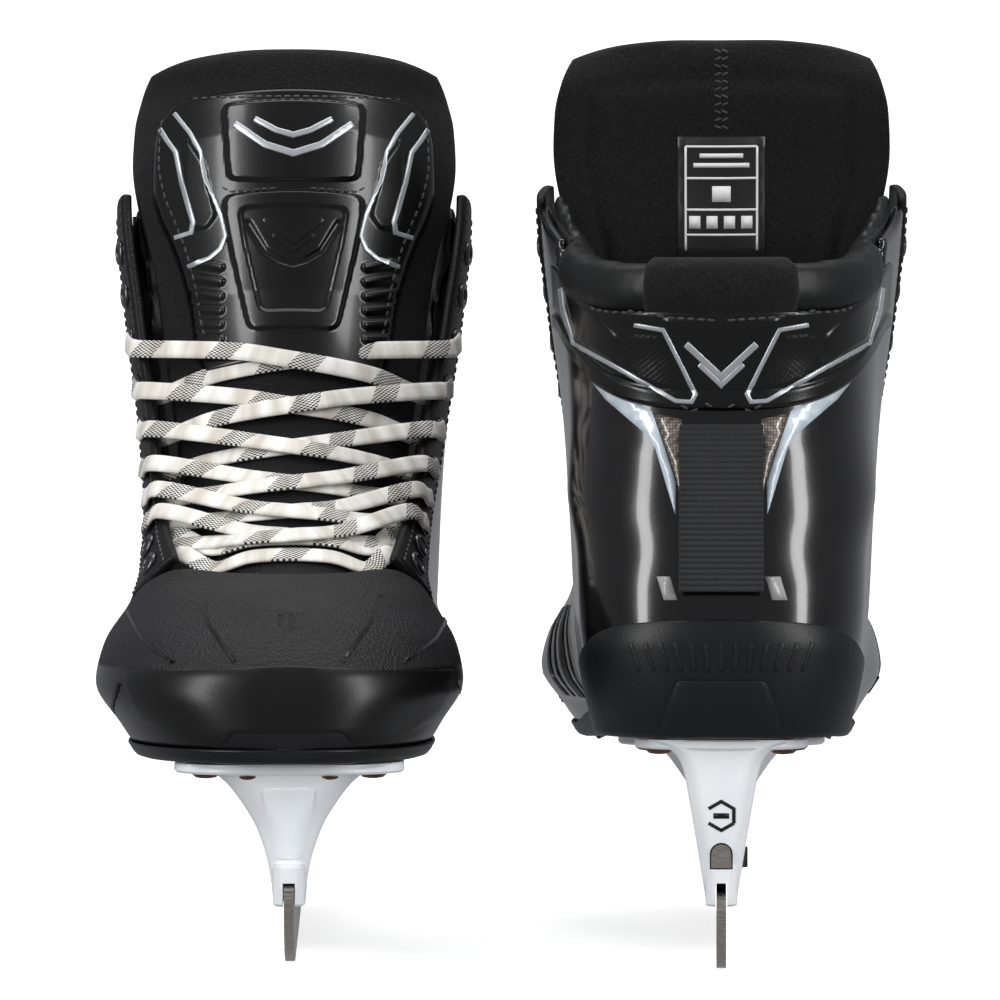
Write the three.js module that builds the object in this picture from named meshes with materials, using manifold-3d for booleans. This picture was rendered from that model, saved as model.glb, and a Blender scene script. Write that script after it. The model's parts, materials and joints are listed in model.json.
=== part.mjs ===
// A pair of ice hockey skates: moulded boots, flat laces, plastic holders and steel runners.
// Millimetres, +Z up. Each skate is built once in its own frame, as a right foot:
// x points to the outer side of the foot, y runs from the heel (0) to the toe, z starts on the ice.
// The left skate is the mirror image. The pair's origin is the middle of its box, on the ice.
import * as THREE from 'three';
import { mergeVertices } from 'three/addons/utils/BufferGeometryUtils.js';
import Module from 'manifold-3d';

const wasm = await Module();
wasm.setup();

// ---- driving dimensions -------------------------------------------------------------------
const bootLength = 290;           // heel to toe cap
const cuffTop = 240;              // front tips of the cuffs
const collarRearTop = 214;        // felt collar above the heel
const tongueTop = 288;
const toeCapHeight = 119;         // top of the toe cap where the tongue goes in
const toeCapLength = 84;
const ballWidthOuter = 60;        // half widths of the boot at the ball of the foot
const ballWidthInner = 53;
const heelWidth = 46;             // half width above the heel
const cuffWidth = 58.5;           // half width of the cuffs at their front edge
const wallShell = 4;
const wallToeCap = 3.5;
const wallOutsole = 2.2;          // side wall of the outsole's tray
const floorOutsole = 3.6;
const wallFacing = 3.4;
const wallLiner = 5;
const padSeam = 190;              // the lining meets the collar's padding here
const insoleThickness = 3;
const facingWidth = 17;
const eyeletRadius = 3.3;
const eyeletRows = 10;
const lacedRows = 8;              // the top eyelets stay empty
const laceRadius = 1.1;
const gap = 0.35;                 // between pieces that touch
const soleHeel = 70.4;            // underside of the outsole at the heel and at the toe
const soleToe = 63;
const plateThickness = 3;
const holderBottom = 20.5;
const railTop = 33;
const railHalf = 4.7;
const runnerThickness = 2.9;
const runnerRear = 6;
const runnerToeGap = 6;           // from the runner's front end to the boot's
const hookToeGap = 24;            // from the runner's front hook, which it swings about, to the boot's end
const boltY = 30;
const boltX = -1.2;               // the lock sits a little to the inner side
const boltRadius = 2;
const wheelRadius = 6.8;
const wheelLow = 31;
const wheelHigh = 37;
const windowHalf = 3.4;           // the lock's arched window at the heel
const windowLow = 31.6;
const windowHigh = 39.5;
const tabWidth = 25;
const tabLength = 47.5;
const tabThickness = 1.8;
const tabTop = 161.5;
const guardFront = 60;            // front ends of the tendon guard
const feltSeam = 196.5;
const tongueSplit = 200;          // the tongue bends here
const tongueThickness = 9;
const wallGuard = 3;              // the moulded shield on the tongue
const rivetRadius = 2.2;
const rivetHead = 4.2;
const rivetHeadHeight = 1.4;
const skateSpread = { right: -66.65, left: 71.4 };      // middle of each blade across the pair
const skateYaw = { right: 1.74, left: -2.5 };           // degrees off straight ahead

const toeCapRear = bootLength - toeCapLength;
const runnerFront = bootLength - runnerToeGap;
const hookY = bootLength - hookToeGap;
const slotTop = holderBottom + 7;         // the holder's slot, and the runner's top edge in it
const runnerTop = slotTop - 0.5;
const sections = 10;              // points along one side of a section
const rad = Math.PI / 180;

// ---- colours ------------------------------------------------------------------------------
const finishes = {
  shellBlack: { color: 0x141416, roughness: 0.25, metalness: 0 },
  matteBlack: { color: 0x1b1b1d, roughness: 0.7, metalness: 0 },
  felt: { color: 0x121213, roughness: 0.95, metalness: 0 },
  foam: { color: 0x26262a, roughness: 0.9, metalness: 0 },
  webbing: { color: 0x17171a, roughness: 0.85, metalness: 0 },
  lace: { color: 0xe9e7e1, roughness: 0.85, metalness: 0 },
  holderWhite: { color: 0xf4f5f7, roughness: 0.3, metalness: 0 },
  steel: { color: 0xb9b5ae, roughness: 0.3, metalness: 1 },
  rivet: { color: 0x6d5a4c, roughness: 0.4, metalness: 1 },
};

// ---- geometry helpers ---------------------------------------------------------------------
// A smooth curve through a few [at, value] pairs that never overshoots them.
function curve(pairs) {
  const slopes = pairs.map((_, i) => {
    if (i === 0 || i === pairs.length - 1) return 0;
    const a = (pairs[i][1] - pairs[i - 1][1]) / (pairs[i][0] - pairs[i - 1][0]);
    const b = (pairs[i + 1][1] - pairs[i][1]) / (pairs[i + 1][0] - pairs[i][0]);
    return a * b <= 0 ? 0 : (2 * a * b) / (a + b);
  });
  return (at) => {
    if (at <= pairs[0][0]) return pairs[0][1];
    const last = pairs.length - 1;
    if (at >= pairs[last][0]) return pairs[last][1];
    let i = 0;
    while (at > pairs[i + 1][0]) i += 1;
    const h = pairs[i + 1][0] - pairs[i][0];
    const t = (at - pairs[i][0]) / h;
    const rise = pairs[i + 1][1] - pairs[i][1];
    const ease = t * t * (3 - 2 * t);
    const start = slopes[i] * h * t * (1 - t) * (1 - t);
    const end = slopes[i + 1] * h * t * t * (t - 1);
    return pairs[i][1] + rise * ease + start + end;
  };
}

function toSolid(geometry) {
  const bare = new THREE.BufferGeometry();
  bare.setAttribute('position', geometry.attributes.position);
  if (geometry.index) bare.setIndex(geometry.index);
  const merged = mergeVertices(bare, 1e-4);
  return new wasm.Manifold(new wasm.Mesh({
    numProp: 3,
    vertProperties: new Float32Array(merged.attributes.position.array),
    triVerts: new Uint32Array(merged.index.array),
  }));
}

function toGeometry(solid) {
  const mesh = solid.getMesh();
  const geometry = new THREE.BufferGeometry();
  geometry.setAttribute('position', new THREE.BufferAttribute(new Float32Array(mesh.vertProperties), 3));
  geometry.setIndex(new THREE.BufferAttribute(new Uint32Array(mesh.triVerts), 1));
  geometry.computeVertexNormals();
  return geometry;
}

// A closed body through rings of equal length. A round ring is closed by a fan about its middle,
// a long thin one by a strip between its two sides.
function loft(rings, thin = false) {
  const count = rings[0].length;
  const lastRing = (rings.length - 1) * count;
  const positions = rings.flat().flatMap((p) => [p.x, p.y, p.z]);
  const index = [];
  const quad = (a, b, c, d) => index.push(a, b, c, a, c, d);
  for (let r = 0; r < rings.length - 1; r += 1) {
    for (let k = 0; k < count; k += 1) {
      const a = r * count + k;
      const b = r * count + ((k + 1) % count);
      quad(a, b, b + count, a + count);
    }
  }
  if (thin) {
    for (let i = 0; i < count / 2 - 1; i += 1) {
      quad(i, count - 1 - i, count - 2 - i, i + 1);
      quad(lastRing + i, lastRing + i + 1, lastRing + count - 2 - i, lastRing + count - 1 - i);
    }
  } else {
    [0, lastRing].forEach((start) => {
      const hub = positions.length / 3;
      const middle = new THREE.Vector3();
      rings[start / count].forEach((p) => middle.addScaledVector(p, 1 / count));
      positions.push(middle.x, middle.y, middle.z);
      for (let k = 0; k < count; k += 1) {
        const next = (k + 1) % count;
        if (start === 0) index.push(hub, start + next, start + k);
        else index.push(hub, start + k, start + next);
      }
    });
  }
  if (signedVolume(positions, index) < 0) index.reverse();
  const geometry = new THREE.BufferGeometry();
  geometry.setAttribute('position', new THREE.Float32BufferAttribute(positions, 3));
  geometry.setIndex(index);
  return geometry;
}

function signedVolume(positions, index) {
  const at = (i) => new THREE.Vector3(positions[3 * i], positions[3 * i + 1], positions[3 * i + 2]);
  let sum = 0;
  for (let i = 0; i < index.length; i += 3) {
    sum += at(index[i]).dot(at(index[i + 1]).cross(at(index[i + 2])));
  }
  return sum;
}

// An outline pushed along one axis. The outline's points are [across, up] in the view named.
function extrude(points, view, low, high) {
  const shape = new THREE.Shape(points.map(([u, v]) => new THREE.Vector2(u, v)));
  const geometry = new THREE.ExtrudeGeometry(shape, { depth: high - low, bevelEnabled: false });
  geometry.translate(0, 0, low);
  const turns = {
    side: new THREE.Matrix4().set(0, 0, 1, 0, 1, 0, 0, 0, 0, 1, 0, 0, 0, 0, 0, 1),
    front: new THREE.Matrix4().set(1, 0, 0, 0, 0, 0, -1, 0, 0, 1, 0, 0, 0, 0, 0, 1),
    plan: new THREE.Matrix4(),
  };
  geometry.applyMatrix4(turns[view]);
  return toSolid(geometry);
}

// Outlines seen from the side are pushed across the boot, both ways from its middle plane.
const sideOutline = (points, half = 90) => extrude(points, 'side', -half, half);
const frontOutline = (points, rear, front) => extrude(points, 'front', -front, -rear);
const planOutline = (points, low, high) => extrude(points, 'plan', low, high);
const block = (x0, x1, y0, y1, z0, z1) => planOutline([[x0, y0], [x1, y0], [x1, y1], [x0, y1]], z0, z1);

function upright(radius, x, y, z0, z1, sides) {
  const geometry = new THREE.CylinderGeometry(radius, radius, z1 - z0, sides);
  geometry.rotateX(90 * rad);
  geometry.translate(x, y, (z0 + z1) / 2);
  return toSolid(geometry);
}

// A straight round bar from one point to another.
function bar(from, to, radius, sides) {
  const along = new THREE.Vector3().subVectors(to, from);
  const geometry = new THREE.CylinderGeometry(radius, radius, along.length(), sides);
  const turn = new THREE.Quaternion().setFromUnitVectors(new THREE.Vector3(0, 1, 0), along.clone().normalize());
  geometry.applyQuaternion(turn);
  geometry.translate((from.x + to.x) / 2, (from.y + to.y) / 2, (from.z + to.z) / 2);
  return toSolid(geometry);
}

function roundedRect(x0, x1, y0, y1, radius, steps) {
  const corners = [[x1 - radius, y0 + radius, -90], [x1 - radius, y1 - radius, 0],
    [x0 + radius, y1 - radius, 90], [x0 + radius, y0 + radius, 180]];
  return corners.flatMap(([cx, cy, start]) => Array.from({ length: steps + 1 }, (_, i) => {
    const angle = (start + (90 * i) / steps) * rad;
    return [cx + radius * Math.cos(angle), cy + radius * Math.sin(angle)];
  }));
}

// ---- the boot's outer form ----------------------------------------------------------------
const instepLow = 131;            // the instep rises from here to the cuffs
const shaft = (share) => instepLow + (cuffTop - instepLow) * share;
const vampRear = 145;
const vamp = (share) => vampRear + (toeCapRear - vampRear) * share;
const backLine = curve([[60, 9], [72, 5], [85, 1.5], [100, 0], [115, 1.5], [135, 9], [155, 17], [168, 21],
  [182, 19.5], [197, 15], [214, 12], [240, 10]]);
const frontLine = curve([[60, bootLength - 3], [72, bootLength], [84, bootLength - 1], [97, bootLength - 8],
  [110, bootLength - 28], [119, bootLength - 54], [instepLow, toeCapRear + 11], [shaft(0.174), vamp(0.803)],
  [shaft(0.376), vamp(0.475)], [shaft(0.633), vamp(0.246)], [cuffTop, vamp(0.05)], [cuffTop + 48, vampRear - 11]]);
const heelHalf = curve([[60, heelWidth - 10], [72, heelWidth - 9], [85, heelWidth - 6], [105, heelWidth - 3],
  [125, heelWidth - 2], [145, heelWidth + 1], [170, heelWidth], [240, heelWidth + 2]]);
const waistHalf = curve([[60, cuffWidth - 24], [72, cuffWidth - 22], [85, cuffWidth - 15], [105, cuffWidth - 12],
  [shaft(0.128), cuffWidth - 10], [shaft(0.358), cuffWidth - 8], [shaft(0.633), cuffWidth - 4],
  [cuffTop, cuffWidth]]);
const ballShape = curve([[60, 0.76], [72, 0.86], [85, 1], [97, 0.96], [110, 0.84], [125, 0.78],
  [shaft(0.128), 0.74], [shaft(0.358), 0.74], [shaft(0.633), 0.82], [cuffTop, 0.92]]);
const heelRound = curve([[60, 40], [120, 42], [170, 52], [214, 60]]);
const frontRound = curve([[60, 82], [97, 84], [110, 80], [125, 58], [shaft(0.174), 48], [cuffTop, 50]]);
const roundness = 2.45;
const stationHeel = 45;
const stationWaist = 120;
const stationBall = toeCapRear - 1;

const ease = (t) => t * t * (3 - 2 * t);
const clamp01 = (t) => Math.min(1, Math.max(0, t));
const roundEnd = (t) => (1 - (1 - clamp01(t)) ** roundness) ** (1 / roundness);

// Half width of the boot at one place; side is +1 on the outer side and -1 on the inner side.
function halfWidth(y, z, side, grow = 0) {
  const ball = (side > 0 ? ballWidthOuter : ballWidthInner) * ballShape(z);
  let width;
  if (y < stationWaist) {
    const t = ease(clamp01((y - stationHeel) / (stationWaist - stationHeel)));
    width = heelHalf(z) + (waistHalf(z) - heelHalf(z)) * t;
  } else {
    const t = ease(clamp01((y - stationWaist) / (stationBall - stationWaist)));
    width = waistHalf(z) + (ball - waistHalf(z)) * t;
  }
  const fromBack = (y - backLine(z) + grow) / (heelRound(z) + grow);
  const fromFront = (frontLine(z) + grow - y) / (frontRound(z) + grow);
  return (width + grow) * roundEnd(fromBack) * roundEnd(fromFront);
}

// One level section of the boot's form, grown outwards or inwards.
function levelRing(z, grow) {
  const back = backLine(z) - grow;
  const front = frontLine(z) + grow;
  const points = [];
  for (let k = 0; k < 2 * sections; k += 1) {
    const side = k <= sections ? 1 : -1;
    const step = k <= sections ? k : 2 * sections - k;
    const y = back + ((front - back) * (1 - Math.cos((Math.PI * step) / sections))) / 2;
    const ends = step === 0 || step === sections;
    points.push(new THREE.Vector3(ends ? 0 : side * halfWidth(y, z, side, grow), y, z));
  }
  return points;
}

function bootForm(grow, low, high) {
  return toSolid(loft(levelsAround(low, high).map((z) => levelRing(z, grow))));
}

const spread = (low, high, steps) => Array.from({ length: steps + 1 }, (_, i) => low + ((high - low) * i) / steps);
const levels = [52, 62, 73, 85, 98, 110, 119, 131, 148, 168, 188,
  ...spread(208, Math.max(cuffTop, collarRearTop) + 32, 3)];

// Every wall of the boot is cut from forms with the same levels, so that they nest evenly.
function levelsAround(low, high) {
  const first = levels.findLastIndex((z) => z < low);
  const last = levels.findIndex((z) => z > high);
  return levels.slice(Math.max(first, 0), last < 0 ? levels.length : last + 1);
}

// ---- lines drawn on the boot, seen from the side ------------------------------------------
// Underside of the outsole, from heel to toe.
const soleLine = curve([[0, soleHeel], [100, soleHeel], [bootLength - 102, soleToe], [bootLength, soleToe]]);

// Points on a line that two pieces share, straight between the same knots on both of them.
function sampleLine(line, y0, y1, lift = 0) {
  const step = 20;
  const height = (y) => {
    const knot = Math.floor(y / step) * step;
    return THREE.MathUtils.lerp(line(knot), line(knot + step), (y - knot) / step);
  };
  const places = [y0];
  for (let y = Math.floor(y0 / step) * step + step; y < y1 - 0.5; y += step) places.push(y);
  return [...places, y1].map((y) => [y, height(y) + lift]);
}

// Front edge of the facings: down from the cuff's tip, then forward to the toe cap.
const facingEdge = new THREE.CatmullRomCurve3([[stationWaist + 1, cuffTop + 2], [stationWaist + 11, shaft(0.743)],
  [vampRear, shaft(0.45)], [vamp(0.361), shaft(0.202)], [vamp(0.738), shaft(0.046)],
  [toeCapRear + 8, toeCapHeight + 5]].map(([y, z]) => new THREE.Vector3(0, y, z)), false, 'centripetal');

function edgePoint(t, inset) {
  const p = facingEdge.getPoint(t);
  const d = facingEdge.getTangent(t);
  return [p.y + inset * d.z, p.z - inset * d.y];
}
const edgeLine = (inset) => spread(0, 1, 12).map((t) => edgePoint(t, inset));

// Top edge of the outsole's tray: a cup round the heel, then a low rim.
const trayLine = curve([[-5, soleHeel + 35.6], [6, soleHeel + 33.6], [30, soleHeel + 23.6], [60, soleHeel + 15.6],
  [100, soleHeel + 8.6], [bootLength - 140, (soleHeel + soleToe) / 2 + 6.3], [bootLength - 102, soleToe + 4.4],
  [bootLength, soleToe + 4.4]]);
const boxRear = -20;              // lines that cut the whole boot run past both of its ends
const boxFront = bootLength + 30;
const collarLine = curve([[guardFront, 221], [90, 229], [stationWaist, cuffTop]]);
const guardSeam = curve([[0, 163.6], [20, 163.8], [40, 169], [guardFront, 177]]);
const feltLine = curve([[0, feltSeam], [30, feltSeam + 1.5], [guardFront, 206]]);
const collarTopRear = curve([[0, collarRearTop], [20, collarRearTop], [guardFront, 221]]);

// ---- the boot's pieces --------------------------------------------------------------------
const between = (lower, upper) => sideOutline([...lower, ...[...upper].reverse()]);

// The wall between two forms, cut to the levels asked for.
function bootWall(outer, inner, low, high) {
  return bootForm(outer, low, high).subtract(bootForm(inner, low - 15, high + 25))
    .intersect(block(-90, 90, -20, bootLength + 30, low, high));
}

function makeShell() {
  const floorTop = floorOutsole + gap + wallShell;
  const whole = bootForm(0, 60, cuffTop);
  const inside = bootForm(-wallShell, 60, cuffTop + 15)
    .subtract(between([[boxRear, 20], [boxFront, 20]], sampleLine(soleLine, boxRear, boxFront, floorTop)));
  const keep = sideOutline([
    ...sampleLine(soleLine, -12, toeCapRear - gap, floorOutsole + gap),
    [toeCapRear - gap, toeCapHeight - 10],
    ...edgeLine(facingWidth).filter(([y]) => y < toeCapRear - 2).reverse(),
    ...sampleLine(collarLine, guardFront, 98).reverse(),
    ...sampleLine(guardSeam, -12, guardFront, -gap).reverse(),
  ]);
  return whole.subtract(inside).intersect(keep);
}

function makeFacing(side) {
  const walls = bootWall(0.8, 0.8 - wallFacing, 105, cuffTop + 5);
  const strip = between(edgeLine(0), edgeLine(facingWidth - gap));
  const half = side > 0 ? block(4, 90, boxRear, boxFront, 60, cuffTop + 40)
    : block(-90, -4, boxRear, boxFront, 60, cuffTop + 40);
  const trim = block(-90, 90, boxRear, toeCapRear - gap, 60, cuffTop);
  let facing = walls.intersect(strip).intersect(half).intersect(trim);
  eyelets(side).forEach((eye) => {
    const out = eye.at.clone().addScaledVector(eye.normal, 8);
    const back = eye.at.clone().addScaledVector(eye.normal, -12);
    facing = facing.subtract(bar(out, back, eyeletRadius, 6));
  });
  return facing;
}

// A place on a facing, so far in from its front edge, and the direction straight out of it.
function facingPoint(side, t, inset) {
  const [y, z] = edgePoint(t, inset);
  const x = halfWidth(y, z, side, 0.8);
  const slopeY = halfWidth(y + 1, z, side, 0.8) - x;
  const slopeZ = halfWidth(y, z + 1, side, 0.8) - x;
  const normal = new THREE.Vector3(side, -slopeY, -slopeZ).normalize();
  return { at: new THREE.Vector3(side * x, y, z), normal, t };
}

// The eyelets of one facing, from the toe up to the cuff.
const eyelets = (side) => spread(0.93, 0.12, eyeletRows - 1).map((t) => facingPoint(side, t, facingWidth * 0.45));

function makeToeCap() {
  const outer = bootForm(0, 60, toeCapHeight + 5);
  const inner = bootForm(-wallToeCap, 60, toeCapHeight + 5);
  const low = soleLine(bootLength) + floorOutsole + gap;
  const keep = sideOutline([[toeCapRear, low], [bootLength + 20, low], [bootLength + 20, toeCapHeight + 2],
    [toeCapRear, toeCapHeight + 2]]);
  const throat = sideOutline([[toeCapRear - 5, toeCapHeight - 14], [toeCapRear + 15, toeCapHeight - 11],
    [toeCapRear + 8, toeCapHeight + 11], [toeCapRear - 5, toeCapHeight + 11]], 30);
  return outer.subtract(inner).intersect(keep).subtract(throat);
}

function makeOutsole(holes) {
  const trayTop = trayLine(0) + 2;
  const outer = bootForm(wallOutsole, 60, trayTop);
  const inner = bootForm(gap, 60, trayTop + 7)
    .subtract(between([[boxRear, 20], [boxFront, 20]], sampleLine(soleLine, boxRear, boxFront, floorOutsole)));
  const keep = between(sampleLine(soleLine, boxRear, bootLength - 1), sampleLine(trayLine, boxRear, bootLength - 1));
  return cutAll(outer.subtract(inner).intersect(keep).intersect(block(-90, 90, -1.5, bootLength, 0, 200)), holes);
}

function makeInsole() {
  const lift = floorOutsole + gap + wallShell + gap;
  const front = bootLength - 40;
  const keep = between(sampleLine(soleLine, boxRear, front, lift),
    sampleLine(soleLine, boxRear, front, lift + insoleThickness));
  return bootForm(-wallShell - wallLiner - 2 * gap, 60, soleHeel + 20).intersect(keep);
}

function makeLiner() {
  const low = floorOutsole + 2 * gap + wallShell;
  const walls = bootWall(-wallShell - gap, -wallShell - gap - wallLiner, 62, padSeam + 2);
  const keep = sideOutline([
    ...sampleLine(soleLine, -12, 170, low),
    [170, 118], [140, 150], [118, padSeam], [guardFront, padSeam], [guardFront, 160], [-12, 160],
  ]);
  return walls.intersect(keep);
}

function makeCollarPad(side) {
  const walls = bootWall(-wallShell - gap, -wallShell - gap - wallLiner, padSeam - 1, cuffTop + 5);
  const keep = sideOutline([[guardFront, padSeam + gap], [114, padSeam + gap], [108, cuffTop - 8],
    ...sampleLine(collarLine, guardFront, 100, 3).reverse()]);
  const half = side > 0 ? block(10, 90, boxRear, boxFront, 60, cuffTop + 40)
    : block(-90, -10, boxRear, boxFront, 60, cuffTop + 40);
  return walls.intersect(keep).intersect(half);
}

function makeTendonGuard() {
  const keep = between(sampleLine(guardSeam, -12, guardFront - gap), sampleLine(feltLine, -12, guardFront - gap));
  return bootWall(0.6, -wallShell + 1, 160, feltSeam + 16).intersect(keep);
}

// The felt lines the guard and rolls over its top edge.
function makeCollarFelt() {
  const rear = guardFront - gap;
  const lining = bootWall(-wallShell + 1 - gap, -wallShell - wallLiner, 160, collarRearTop + 10)
    .intersect(between(sampleLine(guardSeam, -12, rear, gap), sampleLine(feltLine, -12, rear, 2)));
  const roll = bootWall(0, -wallShell - wallLiner, 160, collarRearTop + 10)
    .intersect(between(sampleLine(feltLine, -12, rear, gap), sampleLine(collarTopRear, -12, rear)));
  return lining.add(roll);
}

// ---- the tongue ---------------------------------------------------------------------------
const tongueFoot = toeCapHeight - 7;
const tongueLow = (share) => tongueFoot + (tongueSplit - tongueFoot) * share;
const tongueInBoot = curve([[tongueFoot, 26], [tongueLow(0.216), 28], [tongueLow(0.432), 30],
  [tongueLow(0.682), 34], [tongueSplit, 38], [cuffTop - 12, 40]]);
const tongueFlare = 13;           // how far each side spreads above the cuffs
const tongueCorner = 12;
const tongueCrown = curve([[tongueFoot, 10], [tongueLow(0.216), 12], [tongueLow(0.682), 16],
  [cuffTop, 24], [cuffTop + 48, 26]]);

function tongueWidth(z) {
  const flare = tongueFlare * ease(clamp01((z - cuffTop + 12) / 32));
  return tongueInBoot(z) + flare - 7 * ease(clamp01((z - tongueTop + tongueCorner) / tongueCorner));
}
const tongueInset = 7.5;          // the tongue lies this far under the line of the facings

const upperStations = spread(tongueSplit + 0.8, tongueTop, 8);

function tonguePath(stations) {
  return stations.map((z) => {
    const step = 0.5;
    const slope = (frontLine(z + step) - frontLine(z - step)) / (2 * step);
    const normal = new THREE.Vector3(0, 1, -slope).normalize();
    const inset = tongueInset * clamp01((cuffTop + 20 - z) / 50);
    return { at: new THREE.Vector3(0, frontLine(z), z).addScaledVector(normal, -inset), normal, z };
  });
}

// A curved pad: crowned across, rounded at its side edges, lying along the tongue's line.
function tonguePad(stations, lift, thickness, share) {
  const across = 7;
  const rings = tonguePath(stations).map(({ at, normal, z }) => {
    const ring = [];
    const lay = (u, depth) => {
      const x = u * tongueWidth(z) * share;
      const drop = tongueCrown(z) * u * u * share * share;
      ring.push(at.clone().addScaledVector(normal, lift - drop - depth).setX(x));
    };
    for (let i = 0; i <= across; i += 1) lay((2 * i) / across - 1, 0);
    for (let i = across; i >= 0; i -= 1) lay(((2 * i) / across - 1) * 0.98, thickness);
    return ring;
  });
  return toSolid(loft(rings, true));
}

// ---- laces --------------------------------------------------------------------------------
// A route that turns exactly at its points, one step between each pair of them.
class Route extends THREE.Curve {
  constructor(points) {
    super();
    this.points = points;
  }

  getPoint(t, target = new THREE.Vector3()) {
    const place = t * (this.points.length - 1);
    const i = Math.min(Math.floor(place), this.points.length - 2);
    return target.lerpVectors(this.points[i], this.points[i + 1], place - i);
  }

  getPointAt(t, target) {
    return this.getPoint(t, target);
  }

  getTangentAt(t, target) {
    return this.getTangent(t, target);
  }
}

// The lace is one cord: a bar across the lowest eyelets, then criss-cross up both sides.
// Each run starts under one facing, crosses over the tongue and the other facing, and goes in.
function laceRoute() {
  const rows = { 1: eyelets(1), '-1': eyelets(-1) };
  const above = (eye, lift) => eye.at.clone().addScaledVector(eye.normal, lift);
  const overTongue = (x, z, lift) => {
    const [here] = tonguePath([z]);
    const drop = tongueCrown(z) * (x / tongueWidth(z)) ** 2;
    return here.at.clone().addScaledVector(here.normal, lift - drop).setX(x);
  };
  const out = laceRadius + 2;
  const under = -wallFacing - laceRadius - 2;
  const half = (side) => {
    const route = [above(rows[side][0], under), above(rows[side][0], out),
      above(rows[side][1], out), above(rows[side][1], under)];
    let here = side;
    for (let row = 1; row < lacedRows - 1; row += 1) {
      const from = rows[here][row];
      const to = rows[-here][row + 1];
      const lift = side > 0 ? laceRadius + 3.6 : 3 * laceRadius + 4.4;
      const height = (share) => from.at.z + (to.at.z - from.at.z) * share;
      route.push(above(facingPoint(here, from.t, 0), under));
      route.push(overTongue(15 * here, height(0.35), lift));
      route.push(overTongue(-15 * here, height(0.65), lift));
      route.push(above(facingPoint(-here, to.t, 0), out));
      route.push(above(to, out), above(to, under));
      here = -here;
    }
    return route;
  };
  const lowestBar = [15, -15].map((x) => overTongue(x, toeCapHeight + 9, laceRadius + 4));
  return [...half(1).reverse(), ...lowestBar, ...half(-1)];
}

function makeLace() {
  const points = laceRoute();
  const section = new THREE.Shape(spread(22.5, 337.5, 7).map((angle) => new THREE.Vector2(
    laceRadius * Math.cos(angle * rad), laceRadius * Math.sin(angle * rad))));
  return toSolid(new THREE.ExtrudeGeometry(section, { steps: points.length - 1, extrudePath: new Route(points) }));
}

// ---- holder, runner and blade lock --------------------------------------------------------
const towers = {
  front: {
    side: [[94, railTop - 6], [18, railTop - 6], [16, 44], [9, soleToe - gap], [104, soleToe - gap], [98, 44]]
      .map(([y, z]) => [bootLength - y, z]),
    front: [[4.85, holderBottom], [6, 31], [9.7, 43], [15, 52], [21.3, soleToe - gap]],
    plate: { rear: bootLength - 105, front: bootLength - 8, half: 34.5, under: soleToe },
  },
  rear: {
    side: [[12, railTop - 6], [78, railTop - 6], [88, 46], [99, soleHeel - gap], [9, soleHeel - gap], [9, 46]],
    front: [[4.65, holderBottom], [5.8, 29], [7.05, 37], [9.6, 52], [13.3, soleHeel - gap]],
    plate: { rear: 7, front: 100, half: 26, under: soleHeel },
  },
};

const rivetPlaces = [[24.5, bootLength - 92], [25, bootLength - 28], [18.5, 24], [18.5, 82]];

const cutAll = (solid, cuts) => cuts.reduce((left, cut) => left.subtract(cut), solid);

function rivetHoles() {
  return rivetPlaces.flatMap(([x, y]) => [x, -x].map((at) => upright(rivetRadius + gap, at, y, 50, 90, 8)));
}

function makeHolder() {
  const rail = sideOutline([[9, holderBottom + 3], [13, holderBottom], [bootLength - 14, holderBottom],
    [bootLength - 8, holderBottom + 4], [bootLength - 10, railTop], [9, railTop]], railHalf);
  const bodies = Object.values(towers).map((tower) => {
    const outline = [...tower.front.map(([x, z]) => [-x, z]).reverse(), ...tower.front];
    return sideOutline(tower.side).intersect(frontOutline(outline, 0, bootLength));
  });
  const plates = Object.values(towers).map(({ plate }) => planOutline(
    roundedRect(-plate.half, plate.half, plate.rear, plate.front, 20, 4),
    plate.under - gap - plateThickness, plate.under - gap));
  const slotHalf = runnerThickness / 2 + gap;
  const slot = block(-slotHalf, slotHalf, 0, boxFront, 10, slotTop);
  const hookPocket = block(-slotHalf, slotHalf, hookY - 12, hookY + 8, slotTop - 7.5, runnerTop + 14);
  const lugPocket = block(-slotHalf, slotHalf, boltY - 16, boltY + 12, slotTop - 7.5, runnerTop + 4.2);
  const wheelSlot = upright(wheelRadius + 0.5, boltX, boltY, wheelLow - 0.4, wheelHigh + 0.4, 20);
  const bore = upright(boltRadius + gap, boltX, boltY, slotTop - 7.5, wheelHigh + 23, 12);
  const window = frontOutline(archOutline(windowHalf, windowLow, windowHigh), 0, 16);
  const solid = [...bodies, ...plates].reduce((sum, piece) => sum.add(piece), rail);
  return cutAll(solid, [slot, hookPocket, lugPocket, wheelSlot, bore, window, ...rivetHoles()]);
}

// A slot with a round top, in [x, z].
function archOutline(half, low, high) {
  const arc = spread(0, 180, 6).map((a) => [half * Math.cos(a * rad), high - half + half * Math.sin(a * rad)]);
  return [[half, low], ...arc, [-half, low]];
}

function makeRunner() {
  const outline = [
    [runnerRear + 3, 25], [runnerRear, 17], [runnerRear + 5, 7], [runnerRear + 14, 1.6], [runnerRear + 30, 0],
    [runnerFront - 62, 0], [runnerFront - 38, 1.2], [runnerFront - 18, 5.5], [runnerFront - 5, 13], [runnerFront, 22],
    [runnerFront - 2, runnerTop], [hookY + 5, runnerTop], [hookY + 5, runnerTop + 12], [hookY - 6, runnerTop + 12],
    [hookY - 6, runnerTop + 8], [hookY - 2, runnerTop + 8], [hookY - 2, runnerTop], [boltY + 1, runnerTop],
    [boltY + 1, runnerTop - 2], [boltY + 5, runnerTop - 2], [boltY + 5, runnerTop - 4],
    [boltY - 3.6, runnerTop - 4], [boltY - 3.6, runnerTop],
  ];
  return sideOutline(outline, runnerThickness / 2);
}

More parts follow.
